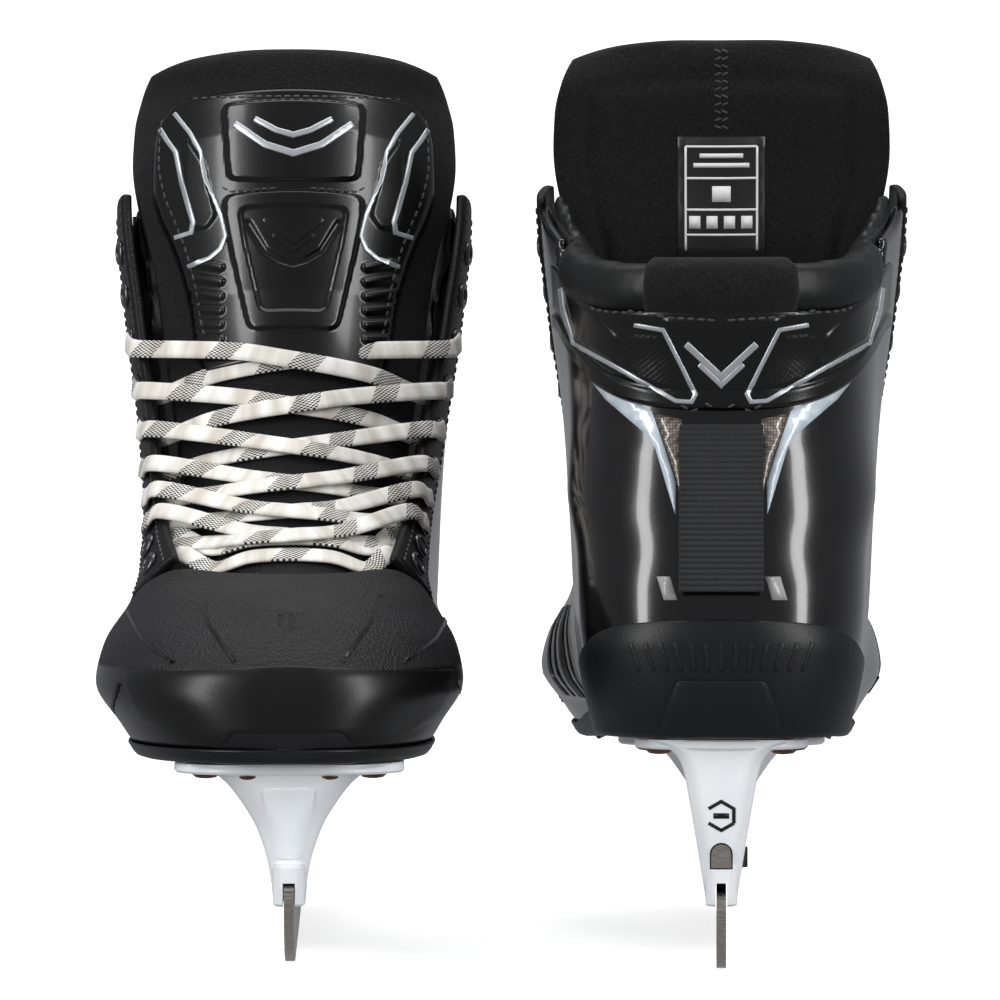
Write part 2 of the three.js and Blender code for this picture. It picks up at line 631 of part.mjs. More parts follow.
function makeBolt() {
  const rod = upright(boltRadius, boltX, boltY, runnerTop + 1, wheelHigh + 13, 10);
  const half = runnerThickness / 2 - 0.05;
  const foot = block(-half, half, boltY - 3.6 + gap, boltY + 1 - gap, runnerTop - 4 + gap, runnerTop + 2.5);
  const hook = block(-half, half, boltY, boltY + 5 - gap, runnerTop - 4 + gap, runnerTop - 2 - gap);
  return rod.add(foot).add(hook);
}

function makeWheel() {
  const knurls = 22;
  const outline = spread(0, 2 * knurls - 1, 2 * knurls - 1).map((i) => {
    const radius = i % 2 ? wheelRadius : wheelRadius - 0.5;
    const angle = (Math.PI * i) / knurls;
    return [boltX + radius * Math.cos(angle), boltY + radius * Math.sin(angle)];
  });
  return planOutline(outline, wheelLow, wheelHigh)
    .subtract(upright(boltRadius + 0.25, boltX, boltY, wheelLow - 1, wheelHigh + 1, 12));
}

function makeWindowInsert() {
  return frontOutline(archOutline(windowHalf - 0.4, windowLow + 0.4, windowHigh - 0.4), 9.8, 15.6);
}

function makeRivet(x, y) {
  const low = soleLine(y) - gap - plateThickness - gap;
  const high = soleLine(y) + floorOutsole - 0.2;
  const profile = [[0, low - rivetHeadHeight], [rivetHead - 1.2, low - rivetHeadHeight], [rivetHead, low - 0.4],
    [rivetHead, low], [rivetRadius, low], [rivetRadius, high], [0, high]];
  const geometry = new THREE.LatheGeometry(profile.map(([r, z]) => new THREE.Vector2(r, z)), 8);
  geometry.rotateX(90 * rad);
  geometry.translate(x, y, 0);
  return toSolid(geometry);
}

// ---- the pull tab at the heel -------------------------------------------------------------
function makePullTab() {
  const topY = backLine(tabTop) - 2.2;
  const lowZ = tabTop - tabLength;
  const lowY = backLine(lowZ) - 4.2;
  const slope = (lowY - topY) / (lowZ - tabTop);
  return sideOutline([[topY, tabTop], [topY - tabThickness, tabTop], [lowY - tabThickness, lowZ],
    [lowY, lowZ], [topY + slope * -12, tabTop - 12]], tabWidth / 2);
}

// ---- one skate ----------------------------------------------------------------------------
function makePieces() {
  const pieces = {
    shell: [makeShell(), 'shellBlack'],
    outsole: [makeOutsole(rivetHoles()), 'matteBlack'],
    toe_cap: [makeToeCap(), 'matteBlack'],
    facing_outer: [makeFacing(1), 'matteBlack'],
    facing_inner: [makeFacing(-1), 'matteBlack'],
    insole: [makeInsole(), 'foam'],
    liner: [makeLiner(), 'foam'],
    collar_pad_outer: [makeCollarPad(1), 'foam'],
    collar_pad_inner: [makeCollarPad(-1), 'foam'],
    tendon_guard: [makeTendonGuard(), 'shellBlack'],
    collar_felt: [makeCollarFelt(), 'felt'],
    pull_tab: [makePullTab(), 'webbing'],
    tongue_lower: [tonguePad(spread(tongueFoot, tongueSplit - 0.8, 9), 0, tongueThickness, 1), 'felt'],
    tongue_upper: [tonguePad(upperStations, 0, tongueThickness, 1), 'felt'],
    tongue_guard: [tonguePad(upperStations.slice(0, -1), wallGuard + 1.2, wallGuard, 0.8), 'shellBlack'],
    lace: [makeLace(), 'lace'],
    holder: [makeHolder(), 'holderWhite'],
    runner: [makeRunner(), 'steel'],
    lock_wheel: [makeWheel(), 'matteBlack'],
    lock_bolt: [makeBolt(), 'steel'],
    window_insert: [makeWindowInsert(), 'steel'],
  };
  rivetPlaces.forEach(([x, y], i) => {
    pieces[`rivet_${i + 1}_outer`] = [makeRivet(x, y), 'rivet'];
    pieces[`rivet_${i + 1}_inner`] = [makeRivet(-x, y), 'rivet'];
  });
  return pieces;
}

function makeSkate(foot, pieces) {
  const skate = new THREE.Group();
  Object.entries(pieces).forEach(([name, [solid, finish]]) => {
    const mesh = new THREE.Mesh(toGeometry(solid), new THREE.MeshStandardMaterial(finishes[finish]));
    mesh.name = `${foot}_${name}`;
    mesh.position.y = -bootLength / 2;
    skate.add(mesh);
  });
  skate.position.x = skateSpread[foot];
  skate.rotation.z = (foot === 'right' ? 180 : 0) * rad + skateYaw[foot] * rad;
  skate.scale.x = foot === 'right' ? 1 : -1;
  return skate;
}

const pair = new THREE.Group();
const pieces = makePieces();
pair.add(makeSkate('right', pieces), makeSkate('left', pieces));
pair.updateMatrixWorld(true);
const box = new THREE.Box3().setFromObject(pair, true);
pair.position.set(-(box.min.x + box.max.x) / 2, -(box.min.y + box.max.y) / 2, -box.min.z);

export default pair;
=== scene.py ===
import json
from math import acos, cos, hypot, pi, radians, sin, sqrt

import bmesh
import bpy
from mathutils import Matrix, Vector
from mathutils.bvhtree import BVHTree
from mathutils.geometry import delaunay_2d_cdt, tessellate_polygon


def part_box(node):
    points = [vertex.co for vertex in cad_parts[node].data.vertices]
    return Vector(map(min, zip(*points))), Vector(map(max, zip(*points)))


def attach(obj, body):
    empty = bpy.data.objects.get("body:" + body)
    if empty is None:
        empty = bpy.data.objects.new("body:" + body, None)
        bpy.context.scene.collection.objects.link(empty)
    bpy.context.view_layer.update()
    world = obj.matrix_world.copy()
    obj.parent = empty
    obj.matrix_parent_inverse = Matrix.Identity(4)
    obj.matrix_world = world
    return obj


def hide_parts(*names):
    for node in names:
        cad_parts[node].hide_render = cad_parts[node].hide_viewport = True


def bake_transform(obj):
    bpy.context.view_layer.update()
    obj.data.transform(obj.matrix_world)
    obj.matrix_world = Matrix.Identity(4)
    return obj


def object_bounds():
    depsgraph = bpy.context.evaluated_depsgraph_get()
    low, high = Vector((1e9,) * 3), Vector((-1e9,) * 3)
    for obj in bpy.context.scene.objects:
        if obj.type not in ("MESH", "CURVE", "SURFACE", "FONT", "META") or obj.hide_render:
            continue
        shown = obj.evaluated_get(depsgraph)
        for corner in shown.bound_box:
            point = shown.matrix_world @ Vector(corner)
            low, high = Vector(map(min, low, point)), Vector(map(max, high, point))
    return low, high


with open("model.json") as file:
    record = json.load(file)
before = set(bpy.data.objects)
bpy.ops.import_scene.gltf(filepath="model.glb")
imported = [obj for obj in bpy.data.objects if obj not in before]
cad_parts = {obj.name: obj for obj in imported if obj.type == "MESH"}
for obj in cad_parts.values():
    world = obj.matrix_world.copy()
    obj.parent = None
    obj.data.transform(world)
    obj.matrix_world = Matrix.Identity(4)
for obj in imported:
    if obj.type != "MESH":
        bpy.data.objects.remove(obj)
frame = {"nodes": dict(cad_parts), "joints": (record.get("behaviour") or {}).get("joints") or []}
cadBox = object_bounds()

scene = bpy.context.scene
feet = ("right", "left")

# the boot's form, in mm
# A skate's own frame, as a right foot: x to the outer side, y from heel to toe, z up from the ice.
boot = dict(length=290, capRear=206, ballOuter=60, ballInner=53, soleHeel=70.4, soleToe=63,
            heelStation=45, waistStation=120, round=2.45)


def curve(pairs):
    # a smooth curve through [at, value] pairs that never overshoots them
    last = len(pairs) - 1
    slopes = [0.0] * (last + 1)
    for i in range(1, last):
        a = (pairs[i][1] - pairs[i - 1][1]) / (pairs[i][0] - pairs[i - 1][0])
        b = (pairs[i + 1][1] - pairs[i][1]) / (pairs[i + 1][0] - pairs[i][0])
        slopes[i] = 0.0 if a * b <= 0 else 2 * a * b / (a + b)

    def value(at):
        if at <= pairs[0][0]:
            return pairs[0][1]
        if at >= pairs[last][0]:
            return pairs[last][1]
        i = 0
        while at > pairs[i + 1][0]:
            i += 1
        h = pairs[i + 1][0] - pairs[i][0]
        t = (at - pairs[i][0]) / h
        bend = slopes[i] * h * t * (1 - t) ** 2 + slopes[i + 1] * h * t * t * (t - 1)
        return pairs[i][1] + (pairs[i + 1][1] - pairs[i][1]) * t * t * (3 - 2 * t) + bend
    return value


backLine = curve([(60, 9), (72, 5), (85, 1.5), (100, 0), (115, 1.5), (135, 9), (155, 17), (168, 21),
                  (182, 19.5), (197, 15), (214, 12), (240, 10), (288, 10)])
frontLine = curve([(60, 287), (72, 290), (84, 289), (97, 282), (110, 262), (119, 236), (131, 217),
                   (150, 194), (172, 174), (200, 160), (240, 148), (288, 134)])
heelHalf = curve([(60, 36), (72, 37), (85, 40), (105, 43), (125, 44), (145, 47), (170, 46), (240, 48)])
waistHalf = curve([(60, 34.5), (72, 36.5), (85, 43.5), (105, 46.5), (145, 48.5), (170, 50.5),
                   (200, 54.5), (240, 58.5), (288, 58.5)])
ballShape = curve([(60, 0.76), (72, 0.86), (85, 1), (97, 0.96), (110, 0.84), (125, 0.78), (145, 0.74),
                   (170, 0.74), (200, 0.82), (240, 0.92)])
heelRound = curve([(60, 40), (120, 42), (170, 52), (214, 60)])
frontRound = curve([(60, 82), (97, 84), (110, 80), (125, 58), (150, 48), (240, 50)])


def clamp01(t):
    return min(1.0, max(0.0, t))


def ease(t):
    t = clamp01(t)
    return t * t * (3 - 2 * t)


def roundEnd(t):
    return (1 - (1 - clamp01(t)) ** boot["round"]) ** (1 / boot["round"])


def halfWidth(y, z, side, grow=0.0):
    ball = (boot["ballOuter"] if side > 0 else boot["ballInner"]) * ballShape(z)
    waist, heel = waistHalf(z), heelHalf(z)
    if y < boot["waistStation"]:
        t = ease((y - boot["heelStation"]) / (boot["waistStation"] - boot["heelStation"]))
        width = heel + (waist - heel) * t
    else:
        t = ease((y - boot["waistStation"]) / (boot["capRear"] - 1 - boot["waistStation"]))
        width = waist + (ball - waist) * t
    fromBack = (y - backLine(z) + grow) / (heelRound(z) + grow)
    fromFront = (frontLine(z) + grow - y) / (frontRound(z) + grow)
    return (width + grow) * roundEnd(fromBack) * roundEnd(fromFront)


def ringPoint(u, z, side, grow=0.0):
    # u runs from 0 at the back of the heel to 1 at the front of the section
    back, front = backLine(z) - grow, frontLine(z) + grow
    y = back + (front - back) * (1 - cos(pi * u)) / 2
    return Vector((side * halfWidth(y, z, side, grow) if 0 < u < 1 else 0.0, y, z))


def ringShare(y, z, grow=0.0):
    back, front = backLine(z) - grow, frontLine(z) + grow
    return acos(max(-1.0, min(1.0, 1 - 2 * (y - back) / (front - back)))) / pi


def soleLine(y):
    return boot["soleHeel"] + (boot["soleToe"] - boot["soleHeel"]) * ease((y - 100) / 88)


trayLine = curve([(-5, 106), (6, 104), (30, 94), (60, 86), (100, 79), (150, 73), (188, 67.4), (290, 67.4)])
guardSeam = curve([(0, 163.6), (10, 164.4), (22, 168.6), (36, 175.5), (52, 183), (70, 189), (96, 194)])
feltLine = curve([(0, 196.5), (30, 198), (60, 206), (100, 215)])
collarLine = curve([(0, 213), (20, 213.5), (60, 221), (90, 229), (121, 240)])

facingPoints = [Vector(p) for p in ((0, 121, 242), (0, 131, 212), (0, 145, 180), (0, 167, 153),
                                    (0, 190, 136), (0, 214, 124))]


def alongPoints(points, t):
    # centripetal Catmull-Rom, t from 0 to 1
    count = len(points) - 1
    place = clamp01(t) * count
    i = min(int(place), count - 1)
    w = place - i
    p1, p2 = points[i], points[i + 1]
    p0 = points[i - 1] if i > 0 else p1 * 2 - p2
    p3 = points[i + 2] if i + 2 <= count else p2 * 2 - p1
    d0, d1, d2 = [max((b - a).length, 1e-4) ** 0.5 for a, b in ((p0, p1), (p1, p2), (p2, p3))]
    m1 = ((p1 - p0) / d0 - (p2 - p0) / (d0 + d1) + (p2 - p1) / d1) * d1
    m2 = ((p2 - p1) / d1 - (p3 - p1) / (d1 + d2) + (p3 - p2) / d2) * d1
    a, b = 2 * w ** 3 - 3 * w * w + 1, w ** 3 - 2 * w * w + w
    return p1 * a + m1 * b + p2 * (1 - a) + m2 * (w ** 3 - w * w)


def edgePoint(t, inset):
    # a place on the facing, so far in from its front edge, seen from the side
    p = alongPoints(facingPoints, t)
    d = (alongPoints(facingPoints, t + 0.005) - alongPoints(facingPoints, t - 0.005)).normalized()
    return p.y + inset * d.z, p.z - inset * d.y


# from a skate to the pair
def footAxes(foot):
    joint = next(j for j in frame["joints"] if j["name"] == f"{foot}_runner_release")
    across = Vector(joint["axis"])
    low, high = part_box(f"{foot}_runner")
    middle = (Vector(low) + Vector(high)) / 2
    return (across if foot == "right" else -across), Vector((0, 0, 1)).cross(across), middle


axesOf = {foot: footAxes(foot) for foot in feet}


def toPair(foot, p):
    across, along, middle = axesOf[foot]
    flat = across * p[0] + along * (p[1] - boot["length"] / 2)
    return Vector((middle.x + flat.x / 1000, middle.y + flat.y / 1000, p[2] / 1000))


# materials
def toLinear(hexColor):
    parts = [int(hexColor[i:i + 2], 16) / 255 for i in (1, 3, 5)]
    return tuple(c / 12.92 if c <= 0.04045 else ((c + 0.055) / 1.055) ** 2.4 for c in parts) + (1.0,)


def addNode(tree, kind, links=None, **settings):
    # a node, its settings, and what goes into it: a socket, or a plain value
    node = tree.nodes.new(kind)
    for name, value in settings.items():
        setattr(node, name, value)
    for name, value in (links or {}).items():
        socket = node.inputs[name]
        if isinstance(value, bpy.types.NodeSocket):
            tree.links.new(value, socket)
        else:
            socket.default_value = value
    return node


def newMaterial(name, color, roughness, metallic=0.0, **extra):
    material = bpy.data.materials.new(name)
    material.use_nodes = True
    tree = material.node_tree
    shader = tree.nodes["Principled BSDF"]
    shader.inputs["Base Color"].default_value = toLinear(color)
    shader.inputs["Roughness"].default_value = roughness
    shader.inputs["Metallic"].default_value = metallic
    for key, value in extra.items():
        shader.inputs[key.replace("_", " ")].default_value = value
    return material, tree, shader


def mm(tree, scale=1.0):
    # object coordinates in millimetres
    place = addNode(tree, "ShaderNodeTexCoord").outputs["Object"]
    scaled = {"Vector": place, "Scale": (1000 * scale,) * 3}
    return addNode(tree, "ShaderNodeMapping", scaled).outputs["Vector"]


def bumpFrom(tree, shader, height, strength, distance):
    bump = addNode(tree, "ShaderNodeBump", {"Height": height, "Strength": strength, "Distance": distance})
    tree.links.new(bump.outputs["Normal"], shader.inputs["Normal"])
    return bump


def rampFrom(tree, factor, stops):
    ramp = addNode(tree, "ShaderNodeValToRGB", {"Fac": factor})
    for i, (at, color) in enumerate(stops):
        stop = ramp.color_ramp.elements[i] if i < 2 else ramp.color_ramp.elements.new(at)
        stop.position = at
        stop.color = toLinear(color) if isinstance(color, str) else (color, color, color, 1)
    return ramp.outputs["Color"]


# glossy moulded polymer over a composite shell: deep black with sharp, slightly wavy reflections
glossShell, tree, shader = newMaterial("moulded polymer gloss", "#060607", 0.2, Specular_IOR_Level=0.35,
                                       Coat_Weight=0.45,
                                       Coat_Roughness=0.07)
grain = addNode(tree, "ShaderNodeTexNoise", {"Vector": mm(tree), "Scale": 0.09, "Detail": 3.0}).outputs["Fac"]
bumpFrom(tree, shader, grain, 0.06, 0.0012)

# thermoplastic rubber with a cast pebble texture, pebbles about 0.7 mm, drawn at 1 mm so that they show
capPebble, tree, shader = newMaterial("pebbled rubber", "#0e0e0f", 0.5, Specular_IOR_Level=0.35)
pebble = addNode(tree, "ShaderNodeTexVoronoi", {"Vector": mm(tree), "Scale": 1.0,
                                                "Randomness": 1.0}).outputs["Distance"]
height = addNode(tree, "ShaderNodeSeparateXYZ", {"Vector": mm(tree)}).outputs["Z"]
cast = addNode(tree, "ShaderNodeMapRange", {"Value": height, "From Min": 90.2, "From Max": 91.2})
cells = addNode(tree, "ShaderNodeMath", {0: pebble, 1: cast.outputs["Result"]}, operation="MULTIPLY")
bumpFrom(tree, shader, cells.outputs[0], 0.8, 0.0005)
satin = addNode(tree, "ShaderNodeMapRange", {"Value": cast.outputs["Result"], "To Min": 0.3, "To Max": 0.58})
tree.links.new(satin.outputs["Result"], shader.inputs["Roughness"])
wear = addNode(tree, "ShaderNodeTexNoise", {"Vector": mm(tree), "Scale": 0.05, "Detail": 4.0}).outputs["Fac"]
tree.links.new(rampFrom(tree, wear, [(0.3, "#0e0e10"), (0.75, "#18181a")]), shader.inputs["Base Color"])

# smooth moulded rubber of the cap's facets and bumper: satin black
capSmooth, tree, shader = newMaterial("smooth moulded rubber", "#0a0a0b", 0.33, Specular_IOR_Level=0.35)
speck = addNode(tree, "ShaderNodeTexNoise", {"Vector": mm(tree), "Scale": 1.6, "Detail": 2.0}).outputs["Fac"]
bumpFrom(tree, shader, speck, 0.12, 0.0002)

# glass filled nylon of the outsole: dark grey satin with a fine mould grain
soleNylon, tree, shader = newMaterial("glass filled nylon", "#0d0e10", 0.42, Specular_IOR_Level=0.35)
grain = addNode(tree, "ShaderNodeTexNoise", {"Vector": mm(tree), "Scale": 1.2, "Detail": 3.0}).outputs["Fac"]
bumpFrom(tree, shader, grain, 0.2, 0.0003)

# pressed wool felt: fuzzy, no shine, fibres about 0.1 mm drawn at 0.4 mm
blackFelt, tree, shader = newMaterial("pressed felt", "#101011", 0.95, Specular_IOR_Level=0.12,
                                      Sheen_Weight=0.08,
                                      Sheen_Roughness=0.5)
fibre = addNode(tree, "ShaderNodeTexNoise", {"Vector": mm(tree), "Scale": 1.6, "Detail": 6.0,
                                             "Roughness": 0.7}).outputs["Fac"]
bumpFrom(tree, shader, fibre, 0.7, 0.0011)
tree.links.new(rampFrom(tree, fibre, [(0.36, "#060606"), (0.7, "#29292b")]), shader.inputs["Base Color"])

# brushed nylon lining: short nap in soft patches
brushedLining, tree, shader = newMaterial("brushed nylon lining", "#0f1011", 0.9, Sheen_Weight=0.08,
                                          Specular_IOR_Level=0.15)
nap = addNode(tree, "ShaderNodeTexNoise", {"Vector": mm(tree), "Scale": 0.8, "Detail": 5.0}).outputs["Fac"]
bumpFrom(tree, shader, nap, 0.5, 0.0008)
tree.links.new(rampFrom(tree, nap, [(0.35, "#070708"), (0.7, "#17181a")]), shader.inputs["Base Color"])

# coated polyester of the collar: smooth, a soft sheen, faint weave
coatedCollar, tree, shader = newMaterial("coated polyester", "#08090a", 0.45, Specular_IOR_Level=0.35)
weave = addNode(tree, "ShaderNodeTexNoise", {"Vector": mm(tree), "Scale": 2.5, "Detail": 2.0}).outputs["Fac"]
bumpFrom(tree, shader, weave, 0.15, 0.0002)

# polyurethane coated synthetic leather of the facings: fine grain, soft shine
grainedSynthetic, tree, shader = newMaterial("grained synthetic leather", "#08080a", 0.45,
                                             Specular_IOR_Level=0.25)
grain = addNode(tree, "ShaderNodeTexVoronoi", {"Vector": mm(tree), "Scale": 1.3}).outputs["Distance"]
bumpFrom(tree, shader, grain, 0.35, 0.0003)

# injection moulded TPU of the tongue shield and tendon guard: satin to gloss
shieldTpu, tree, shader = newMaterial("moulded TPU", "#060607", 0.27, Specular_IOR_Level=0.3,
                                      Coat_Weight=0.25,
                                      Coat_Roughness=0.12)
speck = addNode(tree, "ShaderNodeTexNoise", {"Vector": mm(tree), "Scale": 1.1, "Detail": 2.0}).outputs["Fac"]
bumpFrom(tree, shader, speck, 0.1, 0.0002)

# white acetal of the blade holder: clean, slightly translucent, soft gloss
whiteAcetal, tree, shader = newMaterial("white acetal", "#f2f4f7", 0.28, Subsurface_Weight=0.08,
                                        Subsurface_Scale=0.004)
haze = addNode(tree, "ShaderNodeTexNoise", {"Vector": mm(tree), "Scale": 0.06, "Detail": 2.0}).outputs["Fac"]
tree.links.new(rampFrom(tree, haze, [(0.3, "#eef1f5"), (0.8, "#f8f9fb")]), shader.inputs["Base Color"])

# stainless runner steel, ground lengthwise and polished: fine streaks about 0.2 mm apart
groundSteel, tree, shader = newMaterial("ground stainless steel", "#b9b3aa", 0.3, metallic=1.0)
place = addNode(tree, "ShaderNodeTexCoord").outputs["Object"]
streaks = addNode(tree, "ShaderNodeMapping", {"Vector": place, "Scale": (300, 60, 5000)}).outputs["Vector"]
streak = addNode(tree, "ShaderNodeTexNoise", {"Vector": streaks, "Scale": 1.0, "Detail": 3.0}).outputs["Fac"]
tree.links.new(rampFrom(tree, streak, [(0.3, 0.2), (0.75, 0.42)]), shader.inputs["Roughness"])
tree.links.new(rampFrom(tree, streak, [(0.3, "#a39c92"), (0.75, "#cfcac2")]), shader.inputs["Base Color"])

# metallised ink lines on the shield and guard
silverInk, tree, shader = newMaterial("metallised ink", "#b9bcc0", 0.36, metallic=0.7)
speck = addNode(tree, "ShaderNodeTexNoise", {"Vector": mm(tree), "Scale": 0.7}).outputs["Fac"]
tree.links.new(rampFrom(tree, speck, [(0.3, 0.32), (0.8, 0.42)]), shader.inputs["Roughness"])


# mesh tools
def gridFaces(rows, cols, closed=False):
    wide = cols if closed else cols - 1
    return [(r * cols + c, r * cols + (c + 1) % cols, (r + 1) * cols + (c + 1) % cols, (r + 1) * cols + c)
            for r in range(rows - 1) for c in range(wide)]


def pointingOut(verts, faces):
    # turns an open sheet's faces so that they look away from its middle
    middle = sum(verts, Vector()) / len(verts)
    score = 0.0
    for face in faces:
        a, b, c = (verts[face[i]] for i in (0, 1, 2))
        score += (b - a).cross(c - a).dot((a + c) / 2 - middle)
    return faces if score >= 0 else [tuple(reversed(f)) for f in faces]


def makeObject(name, foot, verts, faces, material, uvs=None, closed=True):
    mesh = bpy.data.meshes.new(f"{foot}_{name}")
    turned = faces if foot == "right" else [tuple(reversed(f)) for f in faces]
    mesh.from_pydata([toPair(foot, v) for v in verts], [], turned)
    if uvs:
        layer = mesh.uv_layers.new(name="UVMap")
        for loop in mesh.loops:
            layer.data[loop.index].uv = uvs[loop.vertex_index]
    work = bmesh.new()
    work.from_mesh(mesh)
    bmesh.ops.remove_doubles(work, verts=work.verts, dist=2e-6)
    if closed:
        bmesh.ops.recalc_face_normals(work, faces=work.faces)
    for face in work.faces:
        face.smooth = True
    work.to_mesh(mesh)
    work.free()
    mesh.materials.append(material)
    piece = bpy.data.objects.new(f"{foot}_{name}", mesh)
    scene.collection.objects.link(piece)
    return piece


def bake(piece):
    # the modifiers' result becomes the piece's own plain mesh
    bpy.context.view_layer.update()
    mesh = bpy.data.meshes.new_from_object(piece.evaluated_get(bpy.context.evaluated_depsgraph_get()))
    piece.modifiers.clear()
    piece.data = mesh
    return piece


def addModifier(piece, kind, **settings):
    modifier = piece.modifiers.new(kind.title(), kind)
    for key, value in settings.items():
        setattr(modifier, key, value)
    return modifier


def giveWall(piece, thickness, levels=1):
    addModifier(piece, "SOLIDIFY", thickness=thickness / 1000, offset=-1)
    if levels:
        addModifier(piece, "SUBSURF", levels=levels, render_levels=levels)
    return bake(piece)


def softJoint(piece):
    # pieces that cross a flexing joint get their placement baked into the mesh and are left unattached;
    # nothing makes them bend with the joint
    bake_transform(piece)


def finishPiece(piece, foot, body, replaced=()):
    if body in ("tongue", "tendon_guard"):
        softJoint(piece)
    else:
        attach(piece, "pair" if body == "pair" else f"{foot}_{body}")
    if replaced:
        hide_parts(*[f"{foot}_{node}" for node in replaced])
    return piece


clothSpec = dict(voxel=0.003, pressure=4.0, cap=0.0012, frames=20)


def plump(piece, spec=clothSpec):
    # stuffed fabric: the skin is blown up a little as cloth, and no point moves further than the cap
    addModifier(piece, "REMESH", mode="VOXEL", voxel_size=spec["voxel"])
    bake(piece)
    still = [v.co.copy() for v in piece.data.vertices]
    cloth = addModifier(piece, "CLOTH")
    cloth.settings.use_pressure = True
    cloth.settings.uniform_pressure_force = spec["pressure"]
    cloth.settings.effector_weights.gravity = 0
    for number in range(1, spec["frames"] + 1):
        scene.frame_set(number)
    bake(piece)
    scene.frame_set(1)
    for vertex, start in zip(piece.data.vertices, still):
        step = vertex.co - start
        vertex.co = start + step.normalized() * min(step.length, spec["cap"])
    for face in piece.data.polygons:
        face.use_smooth = True


def twoFeet(name, form, material, body="pair", replaced=(), wall=0.0, levels=1, uvs=None,
            stuffed=False):
    verts, faces = form
    if wall:
        faces = pointingOut(verts, faces)
    made = []
    for foot in feet:
        piece = makeObject(name, foot, verts, faces, material, uvs, closed=not wall)
        if stuffed:
            plump(piece)
        if wall:
            giveWall(piece, wall, levels)
        elif levels:
            addModifier(piece, "SUBSURF", levels=levels, render_levels=levels)
            bake(piece)
        made.append(finishPiece(piece, foot, body, replaced))
    return made


def coons(bottom, top, left, right, cols, rows):
    # a patch between four edge lines
    grid = []
    for r in range(rows):
        t = r / (rows - 1)
        for c in range(cols):
            s = c / (cols - 1)
            sides = left(t) * (1 - s) + right(t) * s + bottom(s) * (1 - t) + top(s) * t
            corners = (bottom(0) * (1 - t) + top(0) * t) * (1 - s) + (bottom(1) * (1 - t) + top(1) * t) * s
            grid.append(sides - corners)
    return grid


# quarter shell
shellSpec = dict(cols=54, rows=52, wall=3.6, underFacing=15, capFoot=62, trayTuck=6)


def shellForm(spec):
    def at(y, z):
        return Vector((ringShare(y, z), z))

    def bottom(s):
        u = s * ringShare(boot["capRear"], spec["capFoot"])
        z = trayLine(ringPoint(u, 90, 1).y) - spec["trayTuck"]
        return Vector((u, z + (spec["capFoot"] - trayLine(boot["capRear"]) + spec["trayTuck"]) * s ** 8))

    def top(s):
        last = edgePoint(0.02, spec["underFacing"])
        u = s * ringShare(*last)
        z = collarLine(ringPoint(u, 225, 1).y) - 2
        return Vector((u, z + (last[1] - collarLine(last[0]) + 2) * s ** 4))

    def right(t):
        knee = 0.22
        if t < knee:
            return at(boot["capRear"], spec["capFoot"] + (110 - spec["capFoot"]) * t / knee)
        return at(*edgePoint(0.98 - 0.96 * (t - knee) / (1 - knee), spec["underFacing"]))

    def left(t):
        return Vector((0, bottom(0).y + (top(0).y - bottom(0).y) * t))

    cols, rows = spec["cols"], spec["rows"]
    flat = coons(bottom, top, left, right, cols, rows)
    verts = []
    for r in range(rows):
        row = flat[r * cols:(r + 1) * cols]
        verts += [ringPoint(p.x, p.y, -1) for p in reversed(row[1:])] + [ringPoint(p.x, p.y, 1) for p in row]
    faces = gridFaces(rows, 2 * cols - 1)

    def covered(face):
        middle = sum((verts[i] for i in face), Vector()) / 4
        return middle.y < 74 and middle.z > guardSeam(middle.y) + 7
    return verts, [f for f in faces if not covered(f)]


shell = shellForm(shellSpec)
shellHost = BVHTree.FromPolygons(*shell)
twoFeet("quarter_shell", shell, glossShell, replaced=["shell"],
        wall=shellSpec["wall"])
print("quarter shells")

# toe cap
capSpec = dict(rows=44, cols=30, wall=3.2, low=66.9, grow=0.5, tongueCut=30)
capTopLine = curve([(190, 153), (206, 139), (217, 131), (236, 119), (262, 110), (275, 103.5), (282, 97),
                    (286, 92), (289, 84), (290, 76)])


def capForm(spec):
    verts = []
    for r in range(spec["rows"]):
        for c in range(-spec["cols"], spec["cols"] + 1):
            side = 1 if c > 0 else -1
            a = 1 - abs(c) / spec["cols"]
            rear = boot["capRear"] + spec["tongueCut"] * ease((a - 0.35) / 0.65)
            y = rear + (boot["length"] - 0.05 - rear) * sin(pi / 2 * r / (spec["rows"] - 1))
            z = spec["low"] + (capTopLine(y) - spec["low"]) * sin(pi / 2 * a)
            x = halfWidth(y, z, side, spec["grow"]) if a < 1 and r < spec["rows"] - 1 else 0.0
            verts.append(Vector((side * x, min(y, boot["length"]), z)))
    return verts, gridFaces(spec["rows"], 2 * spec["cols"] + 1)


cap = capForm(capSpec)
capHost = BVHTree.FromPolygons(*cap)
twoFeet("toe_cap", cap, capPebble, replaced=["toe_cap"], wall=capSpec["wall"])

# outsole
soleSpec = dict(cols=64, wall=2.0, floor=3.4, edge=1.6)


